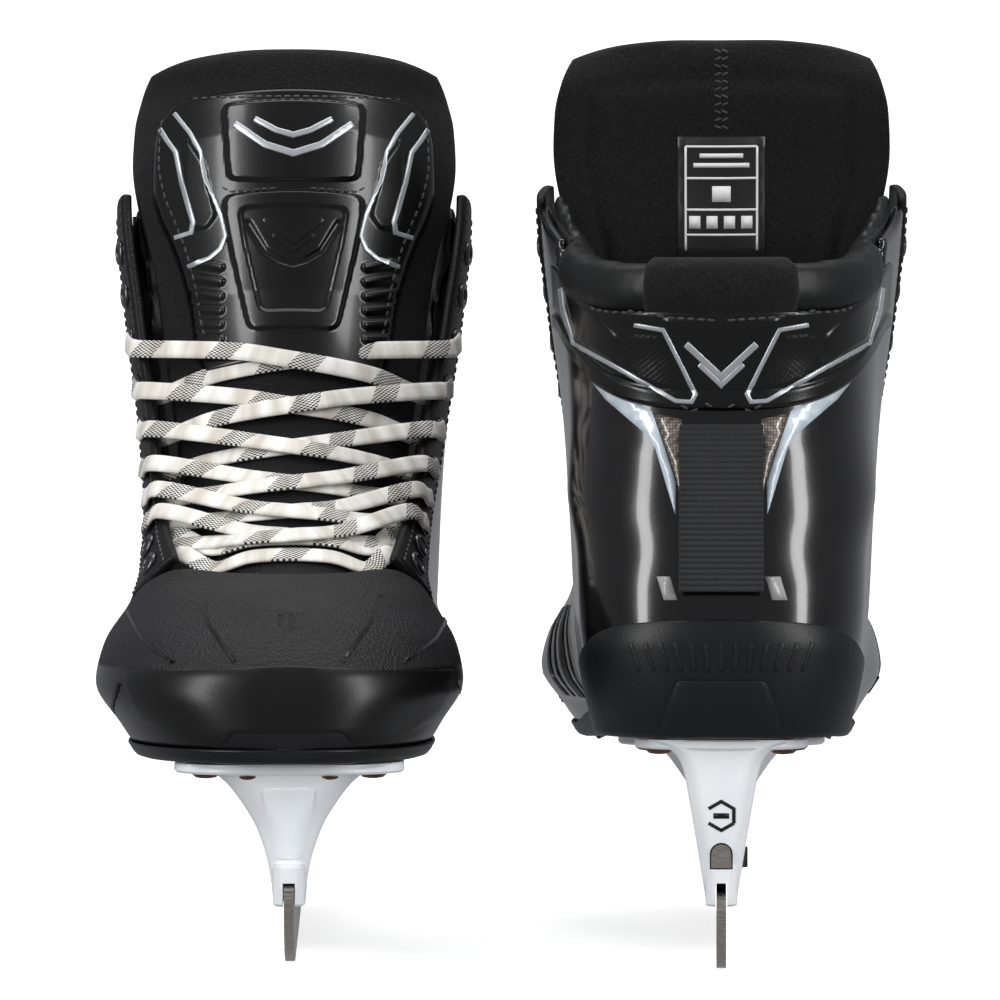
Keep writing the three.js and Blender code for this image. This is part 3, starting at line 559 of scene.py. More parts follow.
def outsoleForm(spec):
    cols = spec["cols"]

    def ring(grow, height, shrink=1.0):
        row = []
        for c in range(2 * cols):
            side = 1 if c <= cols else -1
            u = (c if c <= cols else 2 * cols - c) / cols
            z = soleLine(0) + 10
            for _ in range(3):
                y = ringPoint(u, z, side, grow).y
                z = height(y)
            p = ringPoint(u, z, side, grow)
            middle = Vector((0, 145, p.z))
            p = middle + (p - middle) * shrink
            p.y = max(min(p.y, boot["length"] - 0.3), -1.4)
            if shrink < 1:
                p.z = height(p.y)
            row.append(p)
        return row

    wall, edge = spec["wall"], spec["edge"]
    bottom, top = soleLine, trayLine
    rows = [ring(0.2, lambda y: soleLine(y) + spec["floor"], share) for share in (0.02, 0.5, 0.97)]
    rows += [ring(0.2, lambda y: top(y) - 1), ring(0.5, top), ring(wall - 0.5, top),
             ring(wall, lambda y: top(y) - 0.6)]
    rows += [ring(wall, lambda y: top(y) * (1 - s) + (bottom(y) + edge) * s) for s in (0.25, 0.5, 0.75, 1.0)]
    rows += [ring(wall - 0.5, lambda y: bottom(y) + 0.4), ring(wall - edge, bottom)]
    rows += [ring(wall - edge, bottom, share) for share in (0.9, 0.6, 0.3, 0.02)]
    verts = [p for row in rows for p in row]
    faces = gridFaces(len(rows), 2 * cols, closed=True)
    last = (len(rows) - 1) * 2 * cols
    faces += [tuple(range(2 * cols - 1, -1, -1)), tuple(range(last, last + 2 * cols))]
    return verts, faces


outsole = outsoleForm(soleSpec)
soleHost = BVHTree.FromPolygons(*outsole)
twoFeet("outsole_tray", outsole, soleNylon, replaced=["outsole"], levels=0)
print("outsoles")

# eyelet facings
facingSpec = dict(width=17, wall=3.2, lift=1.0, rows=90, cols=14, holes=10, first=0.93, last=0.12,
                  holeInset=0.45)


def facingPoint(side, t, inset, lift=0.0):
    y, z = edgePoint(t, inset)
    grow = facingSpec["lift"]
    x = halfWidth(y, z, side, grow)
    slopeY = halfWidth(y + 1, z, side, grow) - x
    slopeZ = halfWidth(y, z + 1, side, grow) - x
    normal = Vector((side, -slopeY, -slopeZ)).normalized()
    return Vector((side * x, y, z)) + normal * lift, normal


def facingForm(side, spec):
    # a thick strip with a rolled front edge, cut off level with the toe cap
    wall, width = spec["wall"], spec["width"]
    section = [(width, 0.0), (width * 0.7, 0.15), (width * 0.4, 0.2), (3, 0.2), (1.2, 0.1), (0.35, -0.35),
               (0, -1.0),
               (0, -wall + 0.8), (0.4, -wall + 0.2), (1.2, -wall), (3, -wall), (width * 0.4, -wall),
               (width * 0.7, -wall), (width, -wall + 0.4)]
    verts = []
    for r in range(spec["rows"]):
        t = r / (spec["rows"] - 1)
        verts += [facingPoint(side, t, inset, lift)[0] for inset, lift in section]
    cols = len(section)
    faces = gridFaces(spec["rows"], cols, closed=True)
    last = (spec["rows"] - 1) * cols
    return verts, faces + [tuple(range(cols)), tuple(range(last + cols - 1, last - 1, -1))]


def eyeletPlaces(side, spec):
    step = (spec["last"] - spec["first"]) / (spec["holes"] - 1)
    inset = spec["width"] * spec["holeInset"]
    return [facingPoint(side, spec["first"] + i * step, inset) + (spec["first"] + i * step,)
            for i in range(spec["holes"])]


for side, word in ((1, "outer"), (-1, "inner")):
    twoFeet(f"facing_{word}", facingForm(side, facingSpec), grainedSynthetic, replaced=[f"facing_{word}"],
            levels=1)
print("facings")

# tongue
tongueSpec = dict(low=112, high=288, inset=7.5, thickness=10.5, rows=84, cols=44, cornerDrop=5)
tongueWidth = curve([(112, 28), (131, 31), (150, 33), (172, 37), (200, 42), (225, 46), (246, 51), (262, 53.2),
                     (272, 52.6), (278, 50.6), (282.5, 47.5), (286, 42.5), (288, 35)])
tongueCrown = curve([(112, 10), (131, 12), (172, 16), (240, 24), (276, 25.5), (288, 14)])


def tongueFrame(z):
    slope = frontLine(z + 0.5) - frontLine(z - 0.5)
    normal = Vector((0, 1, -slope)).normalized()
    inset = tongueSpec["inset"] * clamp01((260 - z) / 50)
    return Vector((0, frontLine(z), z)) - normal * inset, normal


def onTongue(x, z, lift=0.0):
    at, normal = tongueFrame(z)
    p = at + normal * (lift - tongueCrown(z) * (x / tongueWidth(z)) ** 2)
    p.x = x
    return p


def tongueForm(spec):
    rows, cols = spec["rows"], spec["cols"]
    verts = []
    for r in range(rows):
        z = spec["low"] + (spec["high"] - spec["low"]) * r / (rows - 1)
        topRound = sqrt(max(0.0, 1 - clamp01((z - 280) / 8.4) ** 2))
        for face in (0, 1):
            for c in range(cols):
                u = -cos(pi * c / (cols - 1)) if face == 0 else cos(pi * c / (cols - 1))
                edge = sqrt(max(0.0, 1 - abs(u) ** 6))
                half = (spec["thickness"] / 2) * edge * (0.35 + 0.65 * topRound)
                level = z - spec["cornerDrop"] * abs(u) ** 4 * clamp01((z - 262) / 26) ** 2
                x = u * tongueWidth(level)
                p = onTongue(x, level)
                normal = tongueFrame(level)[1]
                lift = -spec["thickness"] / 2 + (half if face == 0 else -half)
                if face == 1:
                    border = min(1 - abs(u) - 0.2, (277 - z) / 60)
                    lift -= 1.6 * ease(border / 0.05) - 1.2 * max(0, 1 - abs(border) / 0.025)
                verts.append(p + normal * lift)
    faces = gridFaces(rows, 2 * cols, closed=True)
    last = (rows - 1) * 2 * cols
    strip = [(i, 2 * cols - 1 - i, 2 * cols - 2 - i, i + 1) for i in range(cols - 1)]
    faces += strip + [tuple(last + k for k in reversed(f)) for f in strip]
    return verts, faces


tongue = tongueForm(tongueSpec)
for piece in twoFeet("tongue_felt", tongue, blackFelt, body="tongue",
                     replaced=["tongue_lower", "tongue_upper"],
                     levels=1):
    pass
print("tongues")

# outlines laid on a surface
def insideDepth(points, x, z):
    # how far inside an outline a place lies, below zero outside it
    nearest, inside = 1e9, False
    for i, (ax, az) in enumerate(points):
        bx, bz = points[i - 1]
        ex, ez, px, pz = bx - ax, bz - az, x - ax, z - az
        t = clamp01((px * ex + pz * ez) / (ex * ex + ez * ez + 1e-9))
        nearest = min(nearest, hypot(px - ex * t, pz - ez * t))
        if (az > z) != (bz > z) and x < (bx - ax) * (z - az) / (bz - az) + ax:
            inside = not inside
    return nearest if inside else -nearest


def lineGap(points, x, z):
    # distance from an open line
    nearest = 1e9
    for (ax, az), (bx, bz) in zip(points, points[1:]):
        ex, ez, px, pz = bx - ax, bz - az, x - ax, z - az
        t = clamp01((px * ex + pz * ez) / (ex * ex + ez * ez + 1e-9))
        nearest = min(nearest, hypot(px - ex * t, pz - ez * t))
    return nearest


def flipped(points):
    return [(-x, z) for x, z in reversed(points)]


def rounded(points, radius, steps=4):
    ring = []
    for i, p in enumerate(points):
        here = Vector(p)
        before, after = Vector(points[i - 1]) - here, Vector(points[(i + 1) % len(points)]) - here
        start = here + before * min(0.45, radius / before.length)
        end = here + after * min(0.45, radius / after.length)
        for k in range(steps + 1):
            t = k / steps
            ring.append(tuple(start * (1 - t) ** 2 + here * 2 * t * (1 - t) + end * t * t))
    return ring


def strip(points, width):
    # an outline of even width along an open line
    sides = ([], [])
    for i, p in enumerate(points):
        here = Vector(p)
        before = (here - Vector(points[i - 1])).normalized() if i else None
        after = (Vector(points[i + 1]) - here).normalized() if i + 1 < len(points) else None
        along = ((before or after) + (after or before)).normalized()
        across = Vector((-along.y, along.x))
        reach = width / 2 / max(0.5, across.dot(Vector((-(before or after).y, (before or after).x))))
        sides[0].append(tuple(here + across * reach))
        sides[1].append(tuple(here - across * reach))
    return sides[0] + sides[1][::-1]


def aim(view, p):
    return {
        "front": (Vector((p[0], 420, p[1])), Vector((0, -1, 0))),
        "rear": (Vector((p[0], -120, p[1])), Vector((0, 1, 0))),
        "outer": (Vector((200, p[0], p[1])), Vector((-1, 0, 0))),
        "inner": (Vector((-200, p[0], p[1])), Vector((1, 0, 0))),
        "top": (Vector((p[0], p[1], 420)), Vector((0, 0, -1))),
    }[view]


def landing(host, view, p):
    start, way = aim(view, p)
    place, normal = host.ray_cast(start, way, 600)[:2]
    if place is None:
        place, normal = host.find_nearest(start + way * (start.length * 0.6))[:2]
    return place, (normal if normal.dot(way) < 0 else -normal)


def laidOn(host, outline, view, spacing=2.5, height=0.4, sink=0.5):
    ring = []
    for i, p in enumerate(outline):
        a, b = Vector(p), Vector(outline[(i + 1) % len(outline)])
        steps = max(1, int((b - a).length / spacing))
        ring += [a + (b - a) * k / steps for k in range(steps)]
    lows = [min(p[k] for p in ring) for k in (0, 1)]
    highs = [max(p[k] for p in ring) for k in (0, 1)]
    plain = [tuple(p) for p in ring]
    inner = []
    for i in range(int((highs[0] - lows[0]) / spacing) + 1):
        for k in range(int((highs[1] - lows[1]) / spacing) + 1):
            p = (lows[0] + spacing * (i + 0.5 * (k % 2)), lows[1] + spacing * k)
            if insideDepth(plain, *p) > spacing * 0.4:
                inner.append(Vector(p))
    count = len(ring)
    flat, _, faces = delaunay_2d_cdt(ring + inner, [(i, (i + 1) % count) for i in range(count)],
                                     [list(range(count))], 1, 1e-5)[:3]
    spots = [landing(host, view, p) for p in flat]
    total = len(flat)
    verts = [place + normal * height for place, normal in spots] + [place - normal * sink for place,
                                                                    normal in spots]
    edges = {}
    for face in faces:
        for a, b in zip(face, list(face[1:]) + [face[0]]):
            edges[(a, b)] = True
    rim = [(a, b) for a, b in edges if (b, a) not in edges]
    walls = [(b, a, a + total, b + total) for a, b in rim]
    return verts, [tuple(f) for f in faces] + walls + [tuple(i + total for i in reversed(f)) for f in faces]


def merge(forms):
    verts, faces = [], []
    for v, f in forms:
        faces += [tuple(i + len(verts) for i in face) for face in f]
        verts += v
    return verts, faces


def spun(profile, segments):
    # a solid of revolution about z
    verts = [Vector((r * cos(2 * pi * k / segments), r * sin(2 * pi * k / segments), z))
             for r, z in profile for k in range(segments)]
    faces = gridFaces(len(profile), segments, closed=True)
    last = (len(profile) - 1) * segments
    return verts, faces + [tuple(range(segments - 1, -1, -1)), tuple(range(last, last + segments))]


def decal(name, forms, material, body="pair", soft=0.0):
    for foot in feet:
        verts, faces = merge(forms)
        piece = makeObject(name, foot, verts, faces, material)
        if soft:
            addModifier(piece, "BEVEL", width=soft / 1000, segments=2, limit_method="ANGLE", angle_limit=0.7)
            bake(piece)
        finishPiece(piece, foot, body)


# repeats, made by geometry nodes from places with an outward and an along direction
def stampTree(name, material):
    tree = bpy.data.node_groups.new(name, "GeometryNodeTree")
    face = tree.interface
    face.new_socket("Geometry", in_out="INPUT", socket_type="NodeSocketGeometry")
    for label, kind in (("Stamp", "NodeSocketObject"), ("Spread", "NodeSocketFloat"),
                        ("Seed", "NodeSocketInt")):
        face.new_socket(label, in_out="INPUT", socket_type=kind)
    face.new_socket("Geometry", in_out="OUTPUT", socket_type="NodeSocketGeometry")
    given = addNode(tree, "NodeGroupInput")
    outward, along = [addNode(tree, "GeometryNodeInputNamedAttribute", {"Name": label},
                              data_type="FLOAT_VECTOR")
                      for label in ("outward", "along")]
    turn = addNode(tree, "FunctionNodeAxesToRotation", {"Primary Axis": outward.outputs["Attribute"],
                   "Secondary Axis": along.outputs["Attribute"]}, primary_axis="Z", secondary_axis="X")
    stamp = addNode(tree, "GeometryNodeObjectInfo", {"Object": given.outputs["Stamp"]})
    low = addNode(tree, "ShaderNodeMath", {0: 1.0, 1: given.outputs["Spread"]}, operation="SUBTRACT")
    high = addNode(tree, "ShaderNodeMath", {0: 1.0, 1: given.outputs["Spread"]}, operation="ADD")
    size = addNode(tree, "FunctionNodeRandomValue", {2: low.outputs[0], 3: high.outputs[0],
                   "Seed": given.outputs["Seed"]}, data_type="FLOAT")
    copies = addNode(tree, "GeometryNodeInstanceOnPoints", {"Points": given.outputs["Geometry"],
                     "Instance": stamp.outputs["Geometry"], "Rotation": turn.outputs["Rotation"],
                     "Scale": size.outputs[1]})
    solid = addNode(tree, "GeometryNodeRealizeInstances", {"Geometry": copies.outputs["Instances"]})
    painted = addNode(tree, "GeometryNodeSetMaterial", {"Geometry": solid.outputs["Geometry"],
                                                        "Material": material})
    addNode(tree, "NodeGroupOutput", {"Geometry": painted.outputs["Geometry"]})
    return tree


def scatter(name, places, stampForm, material, body="pair", spread=0.03, seed=3):
    tree = stampTree(f"{name} repeats", material)
    sockets = {item.name: item.identifier for item in tree.interface.items_tree if item.in_out == "INPUT"}
    for foot in feet:
        across, along3, _ = axesOf[foot]

        def turned(v):
            return across * v.x + along3 * v.y + Vector((0, 0, v.z))
        stampMesh = bpy.data.meshes.new("stamp")
        stampMesh.from_pydata([v / 1000 for v in stampForm[0]], [], stampForm[1])
        for face in stampMesh.polygons:
            face.use_smooth = True
        stamp = bpy.data.objects.new("stamp", stampMesh)
        scene.collection.objects.link(stamp)
        mesh = bpy.data.meshes.new(f"{foot}_{name}")
        mesh.from_pydata([toPair(foot, p) for p, _, _ in places], [], [])
        for label, column in (("outward", 1), ("along", 2)):
            layer = mesh.attributes.new(label, "FLOAT_VECTOR", "POINT")
            for i, place in enumerate(places):
                layer.data[i].vector = turned(place[column])
        piece = bpy.data.objects.new(f"{foot}_{name}", mesh)
        scene.collection.objects.link(piece)
        modifier = piece.modifiers.new("Repeats", "NODES")
        modifier.node_group = tree
        modifier[sockets["Stamp"]] = stamp
        modifier[sockets["Spread"]] = spread
        modifier[sockets["Seed"]] = seed
        bake(piece)
        bpy.data.objects.remove(stamp)
        finishPiece(piece, foot, body)


def alongLine(host, view, points, pitch, lift=0.1):
    # evenly spaced places along a line on a surface
    spots = [landing(host, view, p) for p in resample(points, pitch / 3)]
    places, run = [], 0.0
    for i in range(1, len(spots) - 1):
        run += (spots[i][0] - spots[i - 1][0]).length
        if run >= pitch:
            run = 0.0
            way = (spots[i + 1][0] - spots[i - 1][0]).normalized()
            places.append((spots[i][0] + spots[i][1] * lift, spots[i][1], way))
    return places


def resample(points, step):
    out = []
    for a, b in zip(points, points[1:]):
        count = max(1, int((Vector(b) - Vector(a)).length / step))
        out += [tuple(Vector(a) + (Vector(b) - Vector(a)) * k / count) for k in range(count)]
    return out + [tuple(points[-1])]


stitchStamp = spun([(0.02, -1.15), (0.26, -0.95), (0.36, -0.4), (0.36, 0.4), (0.26, 0.95), (0.02, 1.15)], 6)
stitchStamp = ([Vector((v.z, v.y, v.x * 0.8)) for v in stitchStamp[0]],
               [tuple(reversed(f)) for f in stitchStamp[1]])

# polyester thread: black, twisted, a soft sheen
blackThread, tree, shader = newMaterial("polyester thread", "#2b2b2e", 0.55, Sheen_Weight=0.3)
twist = addNode(tree, "ShaderNodeTexNoise", {"Vector": mm(tree), "Scale": 3.0}).outputs["Fac"]
bumpFrom(tree, shader, twist, 0.4, 0.0003)

# solid grey print on the shell
greyInk, tree, shader = newMaterial("grey screen print", "#a9a7a6", 0.35, Coat_Weight=0.4, Coat_Roughness=0.1)
speck = addNode(tree, "ShaderNodeTexNoise", {"Vector": mm(tree), "Scale": 1.5}).outputs["Fac"]
tree.links.new(rampFrom(tree, speck, [(0.3, "#9b9998"), (0.8, "#b3b1b0")]), shader.inputs["Base Color"])

# pale blue grey print of the two long flashes, under the shell's gloss
paleInk, tree, shader = newMaterial("pale screen print", "#c3d0da", 0.3, Coat_Weight=0.6, Coat_Roughness=0.08)
speck = addNode(tree, "ShaderNodeTexNoise", {"Vector": mm(tree), "Scale": 0.2}).outputs["Fac"]
tree.links.new(rampFrom(tree, speck, [(0.2, "#b9c7d2"), (0.9, "#d3dde4")]), shader.inputs["Base Color"])

# taupe metallic print that breaks into dots of 0.8 mm downwards
taupeInk, tree, shader = newMaterial("taupe metallic print", "#8a817a", 0.35, metallic=0.4, Coat_Weight=0.5)
dots = addNode(tree, "ShaderNodeTexVoronoi", {"Vector": mm(tree), "Scale": 1.1,
                                              "Randomness": 0.0}).outputs["Distance"]
tree.links.new(rampFrom(tree, dots, [(0.3, "#938a82"), (0.5, "#5d5650")]), shader.inputs["Base Color"])

# moulded shield on the tongue
shieldSpec = dict(low=187.5, high=274.5, rows=180, cols=132, wall=3.0)
shieldHalf = curve([(187, 29), (197, 32), (209, 34), (222, 37.5), (230, 40.5), (240, 44.5), (250, 46.4),
                    (262, 46),
                    (268, 44.5), (272, 41), (274.5, 36)])
badgeOutline = rounded([(23, 269.5), (21, 245.2), (9, 243.6), (-9, 243.6), (-21, 245.2), (-23, 269.5)], 3)
crestOutline = rounded([(22.6, 240.5), (22.2, 232), (14.2, 197.6), (-14.2, 197.6), (-22.2, 232),
                        (-22.6, 240.5)], 3.5)
crestInner = rounded([(17.5, 236), (16.5, 228), (10.5, 203), (-10.5, 203), (-16.5, 228), (-17.5, 236)], 3)
sidePad = rounded([(35.2, 262), (29, 252), (27.4, 244), (24.8, 235), (28, 231), (33.5, 232), (36, 245)], 1.5)
veeLine = [(14.5, 231), (9, 222), (4, 219), (0, 217.8)]
ladderBars = [[(23.5, 196.5 + 4.4 * k), (32.2, 198.5 + 4.6 * k)] for k in range(6)]


def shieldRelief(x, z):
    ax = abs(x)
    relief = 1.5 * ease(insideDepth(badgeOutline, x, z) / 1.1 + 0.3)
    relief += 1.3 * ease(insideDepth(crestOutline, x, z) / 1.0 + 0.3)
    relief -= 0.9 * ease(insideDepth(crestInner, x, z) / 0.9 + 0.3)
    relief += 0.8 * ease(insideDepth(sidePad, ax, z) / 0.8 + 0.3)
    relief -= 0.7 * ease(1.4 - lineGap(veeLine, ax, z))
    for bar in ladderBars:
        if abs(z - bar[0][1]) < 5:
            relief += 1.1 * ease(1.5 - lineGap(bar, ax, z) / 1.1)
    return relief


def shieldForm(spec):
    verts = []
    for r in range(spec["rows"]):
        z = spec["low"] + (spec["high"] - spec["low"]) * r / (spec["rows"] - 1)
        half = shieldHalf(z)
        for c in range(spec["cols"]):
            x = half * (2 * c / (spec["cols"] - 1) - 1)
            border = min(half - abs(x), (spec["high"] - z), (z - spec["low"]) * 2)
            rise = sqrt(max(0.0, 1 - (1 - clamp01(border / 2.2)) ** 2))
            verts.append(onTongue(x, z, -0.9 + (spec["wall"] + 0.9) * rise + shieldRelief(x, z) * rise))
    return verts, gridFaces(spec["rows"], spec["cols"])


shield = shieldForm(shieldSpec)
shieldHost = BVHTree.FromPolygons(*shield)
twoFeet("tongue_shield", shield, shieldTpu, body="tongue", replaced=["tongue_guard"],
        wall=1.0, levels=0)
outerLine = [(43.6, 262), (41.2, 258), (38.2, 254), (36.2, 244), (32.4, 231), (33, 227.5), (38.6, 226)]
innerLine = [(38.9, 267), (33.5, 260), (30.2, 254), (28.4, 245), (23.4, 233), (21.9, 226), (23.4, 222),
             (27, 219),
             (34.2, 216.4)]
silverLines = [strip(line, width) for line, width in ((outerLine, 1.5), (innerLine, 1.4))]
decal("shield_lines", [laidOn(shieldHost, outline, "front", 1.6, 0.55) for line in silverLines
                       for outline in (line, flipped(line))], silverInk, "tongue", 0.2)
wings = [strip([(19, 262.5), (9, 255.5), (0, 252.6), (-9, 255.5), (-19, 262.5)], 2.3),
         strip([(12.5, 264), (5.5, 260.2), (0, 258.6), (-5.5, 260.2), (-12.5, 264)], 1.9)]
decal("badge_mark", [laidOn(shieldHost, outline, "front", 1.5, 0.9) for outline in wings], silverInk,
      "tongue", 0.35)
crestMark = [strip([(9.5, 231.5), (0, 224), (-9.5, 231.5)], 1.6),
             strip([(6.5, 226.5), (0, 221), (-6.5, 226.5)], 1.4)]
decal("crest_mark", [laidOn(shieldHost, outline, "front", 1.5, 0.5) for outline in crestMark], shieldTpu,
      "tongue",
      0.2)
shieldStitches = []
for side in (1, -1):
    edge = [(side * (shieldHalf(z) - 2.6), z) for z in range(192, 270, 3)]
    shieldStitches += alongLine(shieldHost, "front", edge, 3.0)
    shieldStitches += alongLine(shieldHost, "front", [(side * x, z) for x, z in ((24.5, 243), (20.5, 240.5),
                                                                                 (4, 241.6))],
                                2.6)
shieldStitches += alongLine(shieldHost, "front", [(x, 271.6) for x in range(-36, 37, 4)], 3.0)
scatter("shield_stitches", shieldStitches, stitchStamp, blackThread, "tongue")
print("tongue shields")

# flat lace
laceSpec = dict(width=6.2, thick=1.3, laced=8, slide=0.035)

# woven cotton, white with black flecks in slanting bands 9 mm long
laceWeave, tree, shader = newMaterial("flat woven cotton lace", "#e9e8e4", 0.85, Sheen_Weight=0.2)
place = addNode(tree, "ShaderNodeUVMap", uv_map="UVMap").outputs["UV"]
split = addNode(tree, "ShaderNodeSeparateXYZ", {"Vector": place})
slant = addNode(tree, "ShaderNodeMath", {0: split.outputs["Y"], 1: 4.0}, operation="MULTIPLY")
run = addNode(tree, "ShaderNodeMath", {0: split.outputs["X"], 1: slant.outputs[0]}, operation="ADD")
band = addNode(tree, "ShaderNodeMath", {0: run.outputs[0], 1: 14.0}, operation="PINGPONG")
cell = addNode(tree, "ShaderNodeMapping", {"Vector": place, "Scale": (1.1, 12.0, 1.0)}).outputs["Vector"]
check = addNode(tree, "ShaderNodeTexChecker", {"Vector": cell, "Scale": 1.0}).outputs["Fac"]
fleck = addNode(tree, "ShaderNodeMath", {0: band.outputs[0], 1: 9.6}, operation="GREATER_THAN")
dark = addNode(tree, "ShaderNodeMath", {0: fleck.outputs[0], 1: check}, operation="MULTIPLY")
shade = addNode(tree, "ShaderNodeTexNoise", {"Vector": place, "Scale": 0.14, "Detail": 2.0}).outputs["Fac"]
pale = rampFrom(tree, shade, [(0.35, "#f3f2ee"), (0.62, "#c9c3b8")])
mix = tree.nodes.new("ShaderNodeMix")
mix.data_type = "RGBA"
tree.links.new(dark.outputs[0], mix.inputs[0])
tree.links.new(pale, mix.inputs[6])
mix.inputs[7].default_value = toLinear("#1d1d1f")
tree.links.new(mix.outputs[2], shader.inputs["Base Color"])
ribs = addNode(tree, "ShaderNodeTexChecker", {"Vector": addNode(tree, "ShaderNodeMapping", {"Vector": place,
               "Scale": (1.6, 14.0, 1.0)}).outputs["Vector"], "Scale": 1.0}).outputs["Fac"]
bumpFrom(tree, shader, ribs, 0.35, 0.0004)

eyes = {side: eyeletPlaces(side, facingSpec) for side in (1, -1)}


def overTongue(x, z, lift):
    # the place on the tongue at a true height
    at = z
    for _ in range(12):
        at += 0.7 * (z - onTongue(x, at, lift).z)
    return onTongue(x, at, lift), tongueFrame(at)[1]


def laceRun(here, row, first):
    # one run: from under one facing, over the tongue, over the other facing and into the next eyelet
    start, startOut, t = eyes[here][row]
    end, endOut, endT = eyes[-here][row + 1]
    lift = 1.8 if first else 3.4
    knots = []

    def knot(place, outward):
        knots.append((place, outward))
    knot(start - startOut * 4.6, startOut)
    edge, edgeOut = facingPoint(here, min(0.99, t + laceSpec["slide"]), 2)
    knot(edge - edgeOut * 5.0, edgeOut)
    for k, share in ((0.62, 0.2), (0.3, 0.4), (-0.05, 0.56), (-0.4, 0.72)):
        z = start.z + (end.z - start.z) * share
        span = abs(start.x) * 0.86
        knot(*overTongue(here * k * span, z, lift + (1.0 if abs(k) < 0.2 and not first else 0.0)))
    edge, edgeOut = facingPoint(-here, min(0.99, endT + laceSpec["slide"]), 0.5)
    knot(edge + edgeOut * 1.7, (edgeOut + Vector((0, 0.5, 0.5))).normalized())
    edge, edgeOut = facingPoint(-here, min(0.99, endT + laceSpec["slide"] * 0.6), 4.5)
    knot(edge + edgeOut * 1.5, edgeOut)
    knot(end + endOut * 1.3, endOut)
    knot(end - endOut * 1.2 + (end - edge).normalized() * 1.2, endOut)
    knot(end - endOut * 4.4, endOut)
    return knots


def smoothRun(knots, step):
    out = []
    places = [p for p, _ in knots]
    for i in range(len(places) - 1):
        length = (places[i + 1] - places[i]).length
        for k in range(max(2, int(length / step))):
            w = k / max(2, int(length / step))
            t = (i + w) / (len(places) - 1)
            out.append((alongPoints(places, t), knots[i][1].lerp(knots[i + 1][1], w).normalized()))
    return out + [(places[-1], knots[-1][1])]


def ribbonForm(samples, spec, startU):
    verts, uvs = [], []
    half, thick = spec["width"] / 2, spec["thick"] / 2
    section = [(-1.0, 0.0), (-0.93, 0.75), (-0.5, 1.0), (0.0, 1.08), (0.5, 1.0), (0.93, 0.75), (1.0, 0.0),
               (0.93, -0.75), (0.5, -1.0), (0.0, -1.0), (-0.5, -1.0), (-0.93, -0.75)]
    run = startU
    for i, (place, outward) in enumerate(samples):
        before, after = samples[max(0, i - 1)][0], samples[min(len(samples) - 1, i + 1)][0]
        along = (after - before).normalized()
        across = along.cross(outward).normalized()
        up = across.cross(along).normalized()
        if i:
            run += (place - before).length
        narrow = 1.0 if 3 < i < len(samples) - 4 else 0.62
        for x, z in section:
            verts.append(place + across * (half * narrow * x) + up * (thick * z))
            uvs.append((run, (x + 1) / 2))
    count = len(section)
    faces = gridFaces(len(samples), count, closed=True)
    last = (len(samples) - 1) * count
    return verts, faces + [tuple(range(count - 1, -1, -1)), tuple(range(last, last + count))], uvs


def barRun(row, lift, drop):
    # the lowest bar goes across from eyelet to eyelet, in from outside
    knots = []
    for side in (-1, 1):
        end, endOut, t = eyes[side][row]
        edge, edgeOut = facingPoint(side, t, 1)
        pair = [(end - endOut * 4.2, endOut), (edge - edgeOut * 4.6, edgeOut)]
        across = [overTongue(side * x, end.z - 2 + rise, lift) for x, rise in ((24, 1.0), (12, drop))]
        knots = knots + pair + across if side < 0 else knots + list(reversed(across)) + list(reversed(pair))
    return knots


laceParts, laceUvs = [], []
offset = 0.0
runs = [(1, row, row % 2 == 0) for row in range(1, laceSpec["laced"] - 1)]
runs += [(-1, row, row % 2 == 1) for row in range(1, laceSpec["laced"] - 1)]
for knots in [laceRun(*run) for run in runs] + [barRun(0, 2.4, 4.4), barRun(1, 2.2, 4.0)]:
    samples = smoothRun(knots, 1.6)
    verts, faces, uvs = ribbonForm(samples, laceSpec, offset)
    offset += 37.0
    laceParts.append((verts, faces))
    laceUvs += uvs
laceForm = merge(laceParts)
for foot in feet:
    piece = makeObject("flat_lace", foot, *laceForm, laceWeave, laceUvs)
    finishPiece(piece, foot, "pair", ["lace"])
print("laces")

# toe cap trim: bumper panel and crease lines
bumper = rounded([(-50, 89.5), (0, 92), (50, 89.5), (46, 75.6), (31, 69.8), (19.3, 68.9), (15.8, 72.7),
                  (-15.8, 72.7),
                  (-19.3, 68.9), (-31, 69.8), (-46, 75.6)], 2)
decal("cap_bumper", [laidOn(capHost, bumper, "front", 2.4, 0.55, 0.3)], capSmooth,
      soft=0.3)
creases = [[(34, 92.6), (44, 99), (50.5, 107)], [(16, 93.3), (24, 104), (27.5, 112)],
           [(51, 86), (53.6, 79), (54, 73)]]
decal("cap_creases", [laidOn(capHost, outline, "front", 2.0, 0.3, 0.2) for line in creases
                      for outline in (strip(line, 1.0), flipped(strip(line, 1.0)))], capSmooth,
      soft=0.15)
print("toe caps")

# tendon guard
guardSpec = dict(cols=240, rows=54, wall=2.2, grow=1.0, front=95)
guardPlate = rounded([(17.5, 195), (7.6, 171), (0, 166), (-7.6, 171), (-17.5, 195)], 1.5)
guardRibs = [(18.6, 189.5), (28, 190), (29.6, 183), (25, 178), (12, 172.3), (10.4, 174)]
guardSide = rounded([(31, 190), (30.5, 181), (44, 189.5), (47, 201), (48, 205), (38, 197)], 1.5)


def guardRelief(x, z, low):
    ax = abs(x)
    relief = 0.7 * ease(insideDepth(guardPlate, x, z) / 1.0 + 0.3)
    relief += 0.5 * ease(insideDepth(guardSide, ax, z) / 0.8 + 0.3)
    if insideDepth(guardRibs, ax, z) > 0:
        relief += 0.2 + 0.3 * sin((ax * 0.62 + z * 0.78) * 2 * pi / 1.35)
    relief += 0.5 * ease(5.6 - (z - low)) - 0.5 * ease(1.1 - abs(z - low - 5.8))
    return relief


